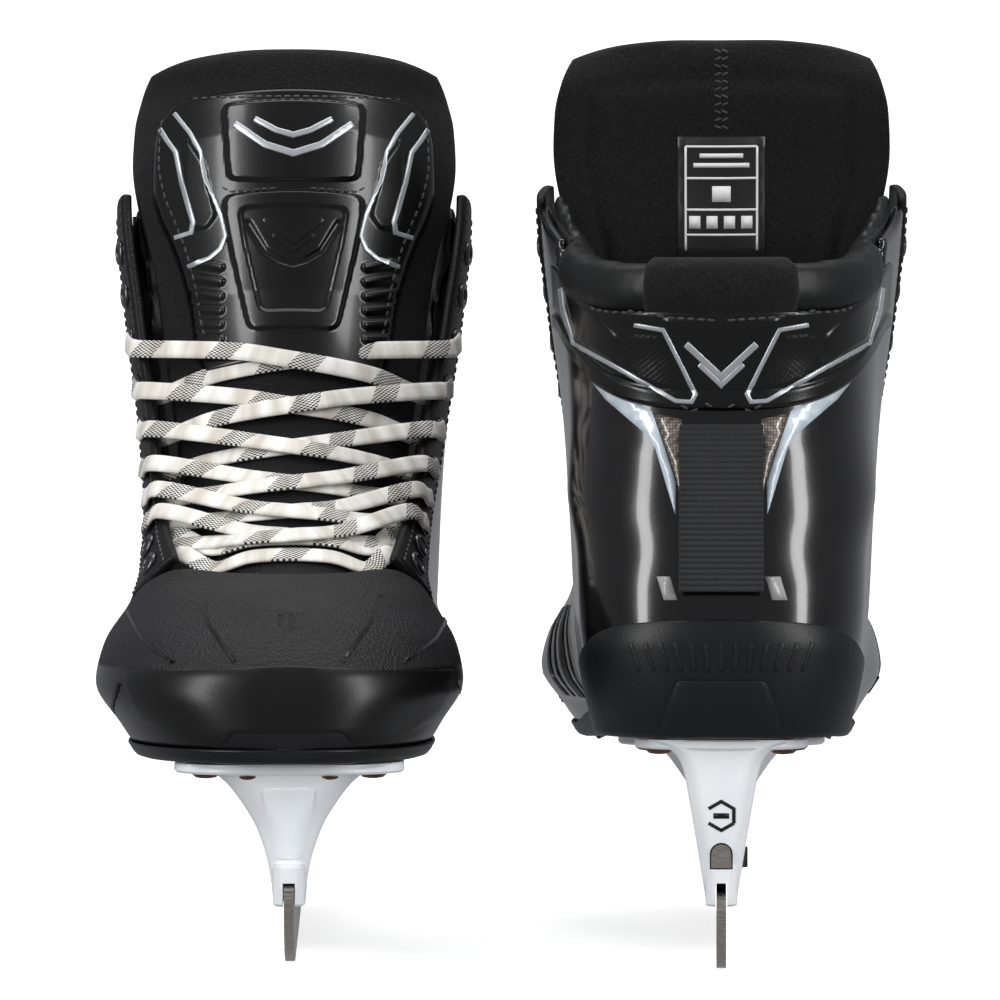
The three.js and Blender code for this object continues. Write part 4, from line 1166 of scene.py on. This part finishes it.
def guardForm(spec):
    verts = []
    reach = ringShare(spec["front"], 180)
    for r in range(spec["rows"]):
        t = r / (spec["rows"] - 1)
        for c in range(spec["cols"]):
            v = 2 * c / (spec["cols"] - 1) - 1
            u, side = abs(v) * reach, (1 if v > 0 else -1)
            y = ringPoint(u, 180, 1).y
            low, top = guardSeam(y), feltLine(y)
            z = low + (top - low) * t
            plain = ringPoint(u, z, side, spec["grow"])
            edge = 0.9 * ease(1 - min(z - low, top - z) / 0.9)
            verts.append(ringPoint(u, z, side, spec["grow"] + guardRelief(plain.x, z, low) - edge))
    return verts, gridFaces(spec["rows"], spec["cols"])


guard = guardForm(guardSpec)
guardHost = BVHTree.FromPolygons(*guard)
twoFeet("tendon_guard", guard, shieldTpu, body="tendon_guard", replaced=["tendon_guard"],
        wall=guardSpec["wall"], levels=0)
guardLine = [(26, 193.2), (17.2, 191.6), (7.6, 172.4), (8.8, 170.2), (13.6, 170.6), (45, 188.6),
             (48.4, 199), (49.4, 206)]
silver = strip(guardLine, 1.3)
chevrons = [strip([(10.5, 187.4), (0, 177.6), (-10.5, 187.4)], 2.0),
            strip([(6.6, 181.4), (0, 175.2), (-6.6, 181.4)], 1.5)]
decal("guard_lines", [laidOn(guardHost, outline, "rear", 1.6,
                             0.45) for outline in [silver, flipped(silver)] + chevrons],
      silverInk, "tendon_guard", 0.2)
guardStitches = []
for side in (1, -1):
    lower = [(side * x, z) for x, z in ((0, 166.2), (10, 168.3), (20, 173.5), (32, 180.5), (44, 187.5))]
    upper = [(side * x, z) for x, z in ((0, 194.2), (14, 195), (28, 197.5), (40, 202), (47, 206.6))]
    guardStitches += alongLine(guardHost, "rear", lower, 3.0) + alongLine(guardHost, "rear", upper, 3.0)
scatter("guard_stitches", guardStitches, stitchStamp, blackThread, "tendon_guard")
print("tendon guards")

# collar
collarSpec = dict(stations=150, front=119, inner=-10.5, outer=1.4)


def collarLoop(v, spec, grow=0.0, lowRise=0.0):
    side = 1 if v > 0 else -1
    u = abs(v) * ringShare(spec["front"], 225)
    y = ringPoint(u, 210, 1).y
    top = collarLine(y) + grow
    low = feltLine(y) + lowRise
    shut = ease((y - 58) / 20)
    outer = spec["outer"] * (1 - shut) - 4.2 * shut + grow
    inner = spec["inner"] - grow
    half, middle = (outer - inner) / 2, (outer + inner) / 2
    height = min(half, (top - low) * 0.6)
    loop = []
    for k in range(9):
        t = k / 8
        loop.append((outer + 1.3 * sin(pi * t) * (1 - shut) - 0.8 * (1 - t) ** 6,
                     low + (top - height - low) * t))
    loop += [(middle + half * cos(a * pi / 10), top - height + height * sin(a * pi / 10))
             for a in range(1, 10)]
    loop += [(inner, top - height - (top - height - 188) * k / 6) for k in range(7)]
    loop += [(inner + (outer - inner) * 0.5, 188.5), (outer - 1.5, low - 1)]
    return [ringPoint(u, z, side, g) for g, z in loop]


def collarForm(spec, vReach, grow=0.0, lowRise=0.0):
    rows = [collarLoop(vReach * (2 * c / (spec["stations"] - 1) - 1), spec, grow, lowRise)
            for c in range(spec["stations"])]
    count = len(rows[0])
    last = (spec["stations"] - 1) * count
    faces = gridFaces(spec["stations"], count, closed=True)
    caps = [tuple(range(count)), tuple(range(last + count - 1, last - 1, -1))]
    return [p for row in rows for p in row], faces + caps


collar = collarForm(collarSpec, 1.0, -0.8)
for piece in twoFeet("collar", collar, coatedCollar, body="tendon_guard",
                     replaced=["collar_felt", "collar_pad_outer", "collar_pad_inner"],
                     stuffed=True):
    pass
feltReach = ringShare(18, 205) / ringShare(collarSpec["front"], 225)
for piece in twoFeet("heel_felt", collarForm(collarSpec, feltReach, 0.55, 0.4), blackFelt,
                     body="tendon_guard",
                     stuffed=True):
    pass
print("collars")

# lining and footbed
liningSpec = dict(shellSpec, cols=40, rows=40, grow=-4.2, wall=4.4)
lining = shellForm(liningSpec)
lining = ([Vector(((1 if v.x > 0 else -1) * halfWidth(v.y, v.z, 1 if v.x > 0 else -1,
                                                      -4.0) if abs(v.x) > 0.01 else 0.0,
                   max(v.y, backLine(v.z) + 4.0), v.z)) for v in lining[0]], lining[1])
for piece in twoFeet("lining", lining, brushedLining, replaced=["liner"], wall=4.2,
                     levels=0):
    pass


def footbedForm():
    # a thin bed, dished at the heel
    rows = []
    for share, lift in ((0.02, 7.9), (0.9, 7.9), (1.0, 8.6), (1.0, 10.2), (0.93, 10.9), (0.6, 10.4),
                        (0.3, 10.2), (0.02, 10.2)):
        row = []
        for c in range(96):
            u = (c if c <= 48 else 96 - c) / 48
            side = 1 if c <= 48 else -1
            p = ringPoint(u, 82, side, -10)
            p = Vector((0, 130, 0)) + (Vector((p.x, p.y, 0)) - Vector((0, 130, 0))) * share
            p.z = soleLine(p.y) + lift
            row.append(p)
        rows.append(row)
    last = 7 * 96
    faces = gridFaces(8, 96, closed=True) + [tuple(range(95, -1, -1)), tuple(range(last, last + 96))]
    return [p for row in rows for p in row], faces


# EVA foam of the footbed: fine closed cells
evaFoam, tree, shader = newMaterial("EVA foam", "#232427", 0.85)
cells = addNode(tree, "ShaderNodeTexVoronoi", {"Vector": mm(tree), "Scale": 1.5}).outputs["Distance"]
bumpFrom(tree, shader, cells, 0.3, 0.0003)
for piece in twoFeet("footbed", footbedForm(), evaFoam, replaced=["insole"], levels=0):
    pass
print("linings")

# pull tab
tabSpec = dict(half=12.5, low=114, high=163.5, rib=1.65, thick=1.5)

# nylon webbing with cross ribs of 1.6 mm, each of many fine threads
ribWebbing, tree, shader = newMaterial("ribbed nylon webbing", "#0f1012", 0.75, Sheen_Weight=0.1,
                                       Sheen_Roughness=0.4)
threads = addNode(tree, "ShaderNodeTexNoise", {"Vector": addNode(tree, "ShaderNodeMapping",
                                                                 {"Vector": mm(tree),
                  "Scale": (3.5, 3.5, 0.8)}).outputs["Vector"], "Scale": 1.0, "Detail": 3.0}).outputs["Fac"]
bumpFrom(tree, shader, threads, 0.6, 0.0006)
tree.links.new(rampFrom(tree, threads, [(0.35, "#08090a"), (0.75, "#1f2023")]), shader.inputs["Base Color"])


def tabForm(spec):
    rows = int((spec["high"] - spec["low"]) / spec["rib"] * 8)
    topY, lowY = backLine(161.5) - 2.6, backLine(114) - 3.4
    verts = []
    for r in range(rows + 1):
        t = r / rows
        z = spec["low"] + (spec["high"] - spec["low"]) * t
        y = lowY + (topY - lowY) * t - 0.8 * sin(pi * t)
        rib = 0.42 * abs(sin(pi * (z - spec["low"]) / spec["rib"]))
        half = spec["half"] - 0.12 + rib * 0.4
        out = spec["thick"] / 2 + rib
        for x, k in ((-1, 0.3), (-0.97, 1), (-0.5, 1), (0, 1), (0.5, 1), (0.97, 1), (1, 0.3), (1, -0.3),
                     (0.97, -1),
                     (0, -1), (-0.97, -1), (-1, -0.3)):
            verts.append(Vector((x * half, y - k * out, z)))
    last = rows * 12
    return verts, gridFaces(rows + 1, 12, closed=True) + [tuple(range(11, -1, -1)),
                                                          tuple(range(last, last + 12))]


for piece in twoFeet("pull_tab", tabForm(tabSpec), ribWebbing, body="pull_tab", replaced=["pull_tab"],
                     levels=0):
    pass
print("pull tabs")

# prints on the shell
flash = [(46.2, 186), (43, 181.6), (34.8, 171.3), (22, 160.2), (19.7, 156.5), (13.6, 136.6), (13.5, 146.2),
         (16.3, 155),
         (20.8, 167.6), (36.4, 176.4)]
wedge = [(11.8, 165), (20.3, 167), (15.9, 155), (13.2, 146.4), (11.8, 141)]
heelBars = [[(-19.5, 111.5), (-17.4, 118.4), (-12.9, 118.4), (-15, 111.5)],
            [(13, 111.5), (15.1, 118.4), (19, 118.4), (16.9, 111.5)]]
sidePanel = rounded([(140, 76), (160, 124), (196, 112), (204, 84), (190, 74)], 3)
sideBars = [[(y, 77), (y + 17, 114 - y / 20), (y + 17 + width, 114 - y / 20), (y + width, 77)]
            for y, width in ((142, 3), (149, 9), (163, 3), (171, 6))]
decal("shell_flashes", [laidOn(shellHost, outline, "rear", 2.2, 0.12,
                               0.3) for outline in (flash, flipped(flash))],
      paleInk)
decal("shell_wedges", [laidOn(shellHost, outline, "rear", 2.2, 0.1,
                              0.3) for outline in (wedge, flipped(wedge))],
      taupeInk)
decal("shell_prints", [laidOn(shellHost, outline, "rear", 2.2, 0.1, 0.3) for outline in heelBars], greyInk)
decal("side_panels", [laidOn(shellHost, sidePanel, "outer", 3, 0.12, 0.3)], greyInk)
decal("side_bars", [laidOn(shellHost, outline, "outer", 2.5, 0.3, 0.3) for outline in sideBars],
      grainedSynthetic)

# heel panel of the outsole
heelBlock = rounded([(-13, 88), (-18, 72.5), (18, 72.5), (13, 88)], 2)
heelRibs = [[(x, 90.5), (x * 1.12, 99)] for x in range(-24, 25, 4)]
decal("heel_block", [laidOn(soleHost, heelBlock, "rear", 2.5, 1.3)], soleNylon,
      soft=0.6)
decal("heel_ribs", [laidOn(soleHost, strip(line, 1.1), "rear", 2.0, 0.45) for line in heelRibs], soleNylon,
      soft=0.2)

# stitches and eyelets of the facings
facingStitches = []
for side in (1, -1):
    for inset in (2.8, 14.0):
        last, run = None, 0.0
        for k in range(500):
            t = 0.015 + 0.97 * k / 499
            place, outward = facingPoint(side, t, inset, 0.1)
            if last is not None:
                run += (place - last).length
                if run > 3.1:
                    facingStitches.append((place, outward, (place - last).normalized()))
                    run = 0.0
            last = place
scatter("facing_stitches", facingStitches, stitchStamp, blackThread)


def ringSolid(profile, segments):
    verts = [Vector((r * cos(2 * pi * k / segments), r * sin(2 * pi * k / segments), z))
             for r, z in profile for k in range(segments)]
    return verts, gridFaces(len(profile), segments, closed=True) + [
        ((len(profile) - 1) * segments + k, (len(profile) - 1) * segments + (k + 1) % segments,
         (k + 1) % segments, k)
        for k in range(segments)]


# nickel plated brass of the eyelets: dark, polished
eyeletMetal, tree, shader = newMaterial("black nickel eyelet", "#5b5a5c", 0.28, metallic=1.0)
speck = addNode(tree, "ShaderNodeTexNoise", {"Vector": mm(tree), "Scale": 0.9}).outputs["Fac"]
tree.links.new(rampFrom(tree, speck, [(0.3, 0.2), (0.8, 0.4)]), shader.inputs["Roughness"])
eyeletStamp = ringSolid([(2.2, 0.0), (2.3, 0.6), (2.8, 0.95), (3.6, 0.75), (4.1, 0.1), (4.0, -0.3),
                         (2.3, -0.3)], 20)
eyeletPlacesAll = [(p + n * 0.25, n, Vector((0, 1, 0)).cross(n).normalized()) for side in (1, -1) for p, n,
                   t in eyes[side]]
scatter("eyelets", eyeletPlacesAll, eyeletStamp, eyeletMetal, spread=0.0)
discStamp = spun([(0.01, -0.2), (2.35, -0.2), (2.35, 0.28), (0.01, 0.28)], 16)
scatter("eyelet_holes", eyeletPlacesAll, discStamp, brushedLining, spread=0.0)
print("facing trim")

# holder


def roundedRing(half, y0, y1, z, corner, steps=7):
    corner = min(corner, half * 0.95, (y1 - y0) * 0.45)
    ring = []
    for cx, cy, start in ((half - corner, y0 + corner, -90), (half - corner, y1 - corner, 0),
                          (corner - half, y1 - corner, 90), (corner - half, y0 + corner, 180)):
        for k in range(steps + 1):
            a = radians(start + 90 * k / steps)
            ring.append(Vector((cx + corner * cos(a), cy + corner * sin(a), z)))
    return ring


def stackForm(rings):
    count = len(rings[0])
    last = (len(rings) - 1) * count
    faces = gridFaces(len(rings), count, closed=True) + [tuple(range(count - 1, -1, -1)),
                                                         tuple(range(last, last + count))]
    return [p for ring in rings for p in ring], faces


def boxForm(x0, x1, y0, y1, z0, z1):
    return stackForm([[Vector((x0, y0, z)), Vector((x1, y0, z)), Vector((x1, y1, z)),
                       Vector((x0, y1, z))] for z in (z0, z1)])


def towerForm(half, rear, front, low, high, corner, count=22):
    return stackForm([roundedRing(half(z), rear(z), front(z), z, corner)
                      for z in (low + (high - low) * k / count for k in range(count + 1))])


def plateForm(half, rear, front, low, high):
    return stackForm([roundedRing(half - 0.7, rear + 0.7, front - 0.7, low, 20),
                      roundedRing(half, rear, front, low + 0.7, 20.7),
                      roundedRing(half, rear, front, high - 0.5, 20.7),
                      roundedRing(half - 0.5, rear + 0.5, front - 0.5, high, 20.2)])


frontTower = towerForm(curve([(20.5, 4.85), (31, 6), (43, 9.7), (52, 15), (58, 20), (61, 25), (63, 31)]),
                       curve([(20.5, 197), (33, 196), (48, 192), (58, 189), (63, 186)]),
                       curve([(20.5, 275), (33, 276), (48, 277.5), (58, 280), (63, 282)]), 20.5, 62.6, 9)
rearTower = towerForm(curve([(20.5, 4.65), (29, 5.8), (37, 7.05), (52, 9.6), (62, 11.6), (67, 15),
                             (70.4, 22)]),
                      curve([(20.5, 12), (46, 9.5), (62, 8.6), (70.4, 8)]),
                      curve([(20.5, 78), (33, 79), (46, 86), (60, 93), (70.4, 99)]), 20.5, 70, 5)
rail = stackForm([roundedRing(4.0, 10, 280, 20.5, 3.6), roundedRing(4.7, 9.3, 281, 21.2, 4.3),
                  roundedRing(4.7, 9.2, 281, 32.0, 4.3), roundedRing(4.1, 9.8, 280, 33, 3.7)])
holderParts = [frontTower, rearTower, plateForm(34.5, 185, 282, 59.6, 62.65),
               plateForm(26, 7, 100, 67, 70.05)]
slotHalf = 1.8
hookSlot = dict(rear=253.8, front=272.6, top=41.2)
boltSlot = dict(rear=13.8, front=42.2, top=31.4)
lock = dict(x=-1.2, y=30, radius=7.4, low=30.5, high=37.5)
windowArch = dict(half=3.4, low=31.6, spring=36.1, deep=16)
holderCuts = merge([boxForm(-slotHalf, slotHalf, -5, 300, 10, 27.5),
                    boxForm(-slotHalf, slotHalf, hookSlot["rear"], hookSlot["front"], 27, hookSlot["top"])])
lockCuts = [stackForm([[Vector((lock["x"] + lock["radius"] * cos(a * pi / 16),
                                lock["y"] + lock["radius"] * sin(a * pi / 16), z)) for a in range(32)]
                       for z in (lock["low"], lock["high"])]),
            boxForm(-slotHalf, slotHalf, boltSlot["rear"], boltSlot["front"], 27, boltSlot["top"])]
arch = [(windowArch["half"] * cos(a * pi / 10), windowArch["spring"] + windowArch["half"] * sin(a * pi / 10))
        for a in range(11)]
arch = [(windowArch["half"], windowArch["low"])] + arch + [(-windowArch["half"], windowArch["low"])]
archCut = stackForm([[Vector((x, y, z)) for x, z in arch] for y in (0, windowArch["deep"])])


def cutWith(piece, form, operation):
    tool = makeObject("tool", "right" if piece.name.startswith("right") else "left", *form, whiteAcetal)
    addModifier(piece, "BOOLEAN", object=tool, operation=operation, solver="EXACT")
    bake(piece)
    bpy.data.objects.remove(tool)


for foot in feet:
    piece = makeObject("blade_holder", foot, *rail, whiteAcetal)
    for form in holderParts:
        cutWith(piece, form, "UNION")
    for form in [holderCuts] + lockCuts + [archCut]:
        cutWith(piece, form, "DIFFERENCE")
    for face in piece.data.polygons:
        face.use_smooth = True
    addModifier(piece, "BEVEL", width=0.0005, segments=2, limit_method="ANGLE", angle_limit=0.6)
    addModifier(piece, "WEIGHTED_NORMAL")
    bake(piece)
    finishPiece(piece, foot, "pair", ["holder"])
    for node, material in (("lock_wheel", soleNylon), ("lock_bolt", groundSteel),
                           ("window_insert", groundSteel)):
        frame["nodes"][f"{foot}_{node}"].material_slots[0].material = material


def runnerForm():
    outline = rounded([(9, 25), (6, 17), (11, 7), (20, 1.6), (36, 0), (222, 0), (246, 1.2), (266, 5.5),
                       (279, 13),
                       (284, 22), (282, 27)], 6, 5)
    outline += [(271, 27), (271, 39), (260, 39), (260, 35), (264, 35), (264, 27), (31, 27), (31, 25),
                (35, 25), (35, 23),
                (26.4, 23), (26.4, 27)]
    verts = [Vector((x, y, z)) for x in (-1.45, 1.45) for y, z in outline]
    count = len(outline)
    sides = [(k, (k + 1) % count, count + (k + 1) % count, count + k) for k in range(count)]
    flat = [tuple(t) for t in tessellate_polygon([[Vector((y, z, 0)) for y, z in outline]])]
    return verts, sides + flat + [tuple(i + count for i in reversed(t)) for t in flat]


for foot in feet:
    piece = makeObject("steel_runner", foot, *runnerForm(), groundSteel)
    for face in piece.data.polygons:
        face.use_smooth = False
    addModifier(piece, "BEVEL", width=0.00025, segments=2, limit_method="ANGLE", angle_limit=0.9)
    bake(piece)
    finishPiece(piece, foot, "runner", ["runner"])

# blued steel of the rivets with a coppery wash
rivetSteel, tree, shader = newMaterial("coppery rivet steel", "#6e4e40", 0.38, metallic=1.0)
speck = addNode(tree, "ShaderNodeTexNoise", {"Vector": mm(tree), "Scale": 0.8}).outputs["Fac"]
tree.links.new(rampFrom(tree, speck, [(0.3, "#4b3a33"), (0.8, "#8a6048")]), shader.inputs["Base Color"])
rivetStamp = spun([(0.01, 1.7), (1.6, 1.6), (3.2, 1.1), (4.1, 0.4), (4.2, 0.0), (2.2, -0.1), (2.2, -3.0),
                   (0.01, -3.0)], 20)
rivetSpots = [(24.5, 198), (25, 262), (18.5, 24), (18.5, 82)]
extraSpots = [(12, 190), (25, 230), (12, 277), (8.5, 93), (19, 53)]
down = Vector((0, 0, -1))
rivets = [(Vector((side * x, y, soleLine(y) - 3.7)), down, Vector((1, 0, 0))) for x,
          y in rivetSpots + extraSpots
          for side in (1, -1)]
scatter("rivets", rivets, rivetStamp, rivetSteel, spread=0.0)
for foot in feet:
    for k in (1, 2, 3, 4):
        for word in ("outer", "inner"):
            frame["nodes"][f"{foot}_rivet_{k}_{word}"].material_slots[0].material = rivetSteel

frontHost = BVHTree.FromPolygons(*frontTower)
towerPanel = rounded([(-7.6, 55.5), (7.6, 55.5), (5.6, 43), (4.1, 34.5), (-4.1, 34.5), (-5.6, 43)], 1.2)
decal("tower_panel", [laidOn(frontHost, towerPanel, "front", 2, 0.6, 0.3)], whiteAcetal,
      soft=0.3)

# lock mark at the heel: a plain six sided ring with a bar
rearHost = BVHTree.FromPolygons(*rearTower)
hexRing = [(4.3 * cos(radians(a)), 47.5 + 4.3 * sin(radians(a))) for a in range(30, 391, 60)]
decal("lock_mark", [laidOn(rearHost, outline, "rear", 1.2, 0.15, 0.2) for outline in
                    (strip(hexRing[:4], 1.0), strip(hexRing[3:6], 1.0),
                     [(-2.3, 46.7), (2.3, 46.7), (2.3, 48.3), (-2.3, 48.3)])], soleNylon)
print("holders")

# trim of the tongue's back: a size label without text, and a ladder seam
tongueHost = BVHTree.FromPolygons(*tongue)
# printed satin of the label
satinLabel, tree, shader = newMaterial("satin label", "#1c1b1c", 0.35, Sheen_Weight=0.2)
weave = addNode(tree, "ShaderNodeTexNoise", {"Vector": mm(tree), "Scale": 2.2}).outputs["Fac"]
bumpFrom(tree, shader, weave, 0.15, 0.0002)
whiteInk, tree, shader = newMaterial("white woven print", "#e8e8e6", 0.6)
speck = addNode(tree, "ShaderNodeTexNoise", {"Vector": mm(tree), "Scale": 2.0}).outputs["Fac"]
bumpFrom(tree, shader, speck, 0.1, 0.0002)
decal("size_label", [laidOn(tongueHost, [(-14, 218), (14, 218), (14, 257), (-14, 257)], "rear", 4, 0.35)],
      satinLabel,
      "tongue")
frameLines = [strip([(-11.5, 221), (-11.5, 254)], 0.7), strip([(11.5, 221), (11.5, 254)], 0.7)]
frameLines += [strip([(-11.5, z), (11.5, z)], 0.7) for z in (254, 244, 234, 226)]
blocks = [[(-3, 236.5), (3, 236.5), (3, 241.5), (-3, 241.5)]] + [[(x, 228), (x + 3.6, 228), (x + 3.6, 232),
                                                                  (x, 232)]
                                                               for x in (-10, -4.4, 1.2, 6.8)]
blocks += [[(-9, 247.4), (9, 247.4), (9, 248.8), (-9, 248.8)],
           [(-7, 250.4), (7, 250.4), (7, 251.8), (-7, 251.8)]]
decal("label_marks", [laidOn(tongueHost, outline, "rear", 3, 0.5) for outline in frameLines + blocks],
      whiteInk,
      "tongue")
ladder = []
for k in range(11):
    z = 260 + 2.4 * k
    ladder += [(place + normal * 0.1, normal, Vector((1, 0, 0.45 * (-1) ** k)).normalized())
               for place, normal in (landing(tongueHost, "rear", (x, z)) for x in (-1.1, 1.1))]
scatter("tongue_seam", ladder, stitchStamp, blackThread, "tongue")
print("labels")

# camera, light and floor
view = dict(distance=1.5, height=0.141, across=-0.0011, lens=183.6, sensor=36)
cameraData = bpy.data.cameras.new("camera")
cameraData.lens = view["lens"]
cameraData.sensor_width = view["sensor"]
camera = bpy.data.objects.new("camera", cameraData)
camera.location = (view["across"], cadBox[0][1] + 0.005 - view["distance"], view["height"])
camera.rotation_euler = (radians(90), 0, 0)
scene.collection.objects.link(camera)
scene.camera = camera


def softbox(name, place, target, width, height, power):
    data = bpy.data.lights.new(name, "AREA")
    data.shape = "RECTANGLE"
    data.size, data.size_y, data.energy = width, height, power
    light = bpy.data.objects.new(name, data)
    light.location = place
    light.rotation_euler = (Vector(target) - Vector(place)).to_track_quat("-Z", "Y").to_euler()
    scene.collection.objects.link(light)


stripBox = dict(width=0.28, height=1.3, power=15)  # tall and narrow: long highlights on the gloss
topBox = dict(width=1.2, height=0.8, power=11)
softbox("left softbox", (-1.1, -1.0, 0.7), (0, 0, 0.12), **stripBox)
softbox("right softbox", (1.1, -1.0, 0.7), (0, 0, 0.12), **stripBox)
softbox("top softbox", (0, 0.1, 1.5), (0, 0, 0), **topBox)

backdrop = bpy.data.meshes.new("backdrop")
bend = dict(start=1.2, radius=0.9)
sweep = [(-4.0, 0.0)]
sweep += [(bend["start"] + bend["radius"] * sin(a * pi / 24),
           bend["radius"] - bend["radius"] * cos(a * pi / 24))
          for a in range(13)]
sweep += [(bend["start"] + bend["radius"], 4.0)]
backdrop.from_pydata([(x, y, z) for y, z in sweep for x in (-5, 5)], [],
                     [(2 * i, 2 * i + 1, 2 * i + 3, 2 * i + 2) for i in range(len(sweep) - 1)])
floorPaint, tree, shader = newMaterial("matt white paint", "#f4f4f4", 0.9, Emission_Color=(1, 1, 1, 1),
                                       Emission_Strength=0.75)
backdrop.materials.append(floorPaint)
for face in backdrop.polygons:
    face.use_smooth = True
floor = bpy.data.objects.new("backdrop", backdrop)
scene.collection.objects.link(floor)
floor.visible_glossy = False
floor.visible_diffuse = False

world = bpy.data.worlds.new("studio")
scene.world = world
world.use_nodes = True
world.node_tree.nodes["Background"].inputs["Color"].default_value = (0.95, 0.96, 1.0, 1.0)
world.node_tree.nodes["Background"].inputs["Strength"].default_value = 0.32
scene.view_settings.view_transform = "Standard"
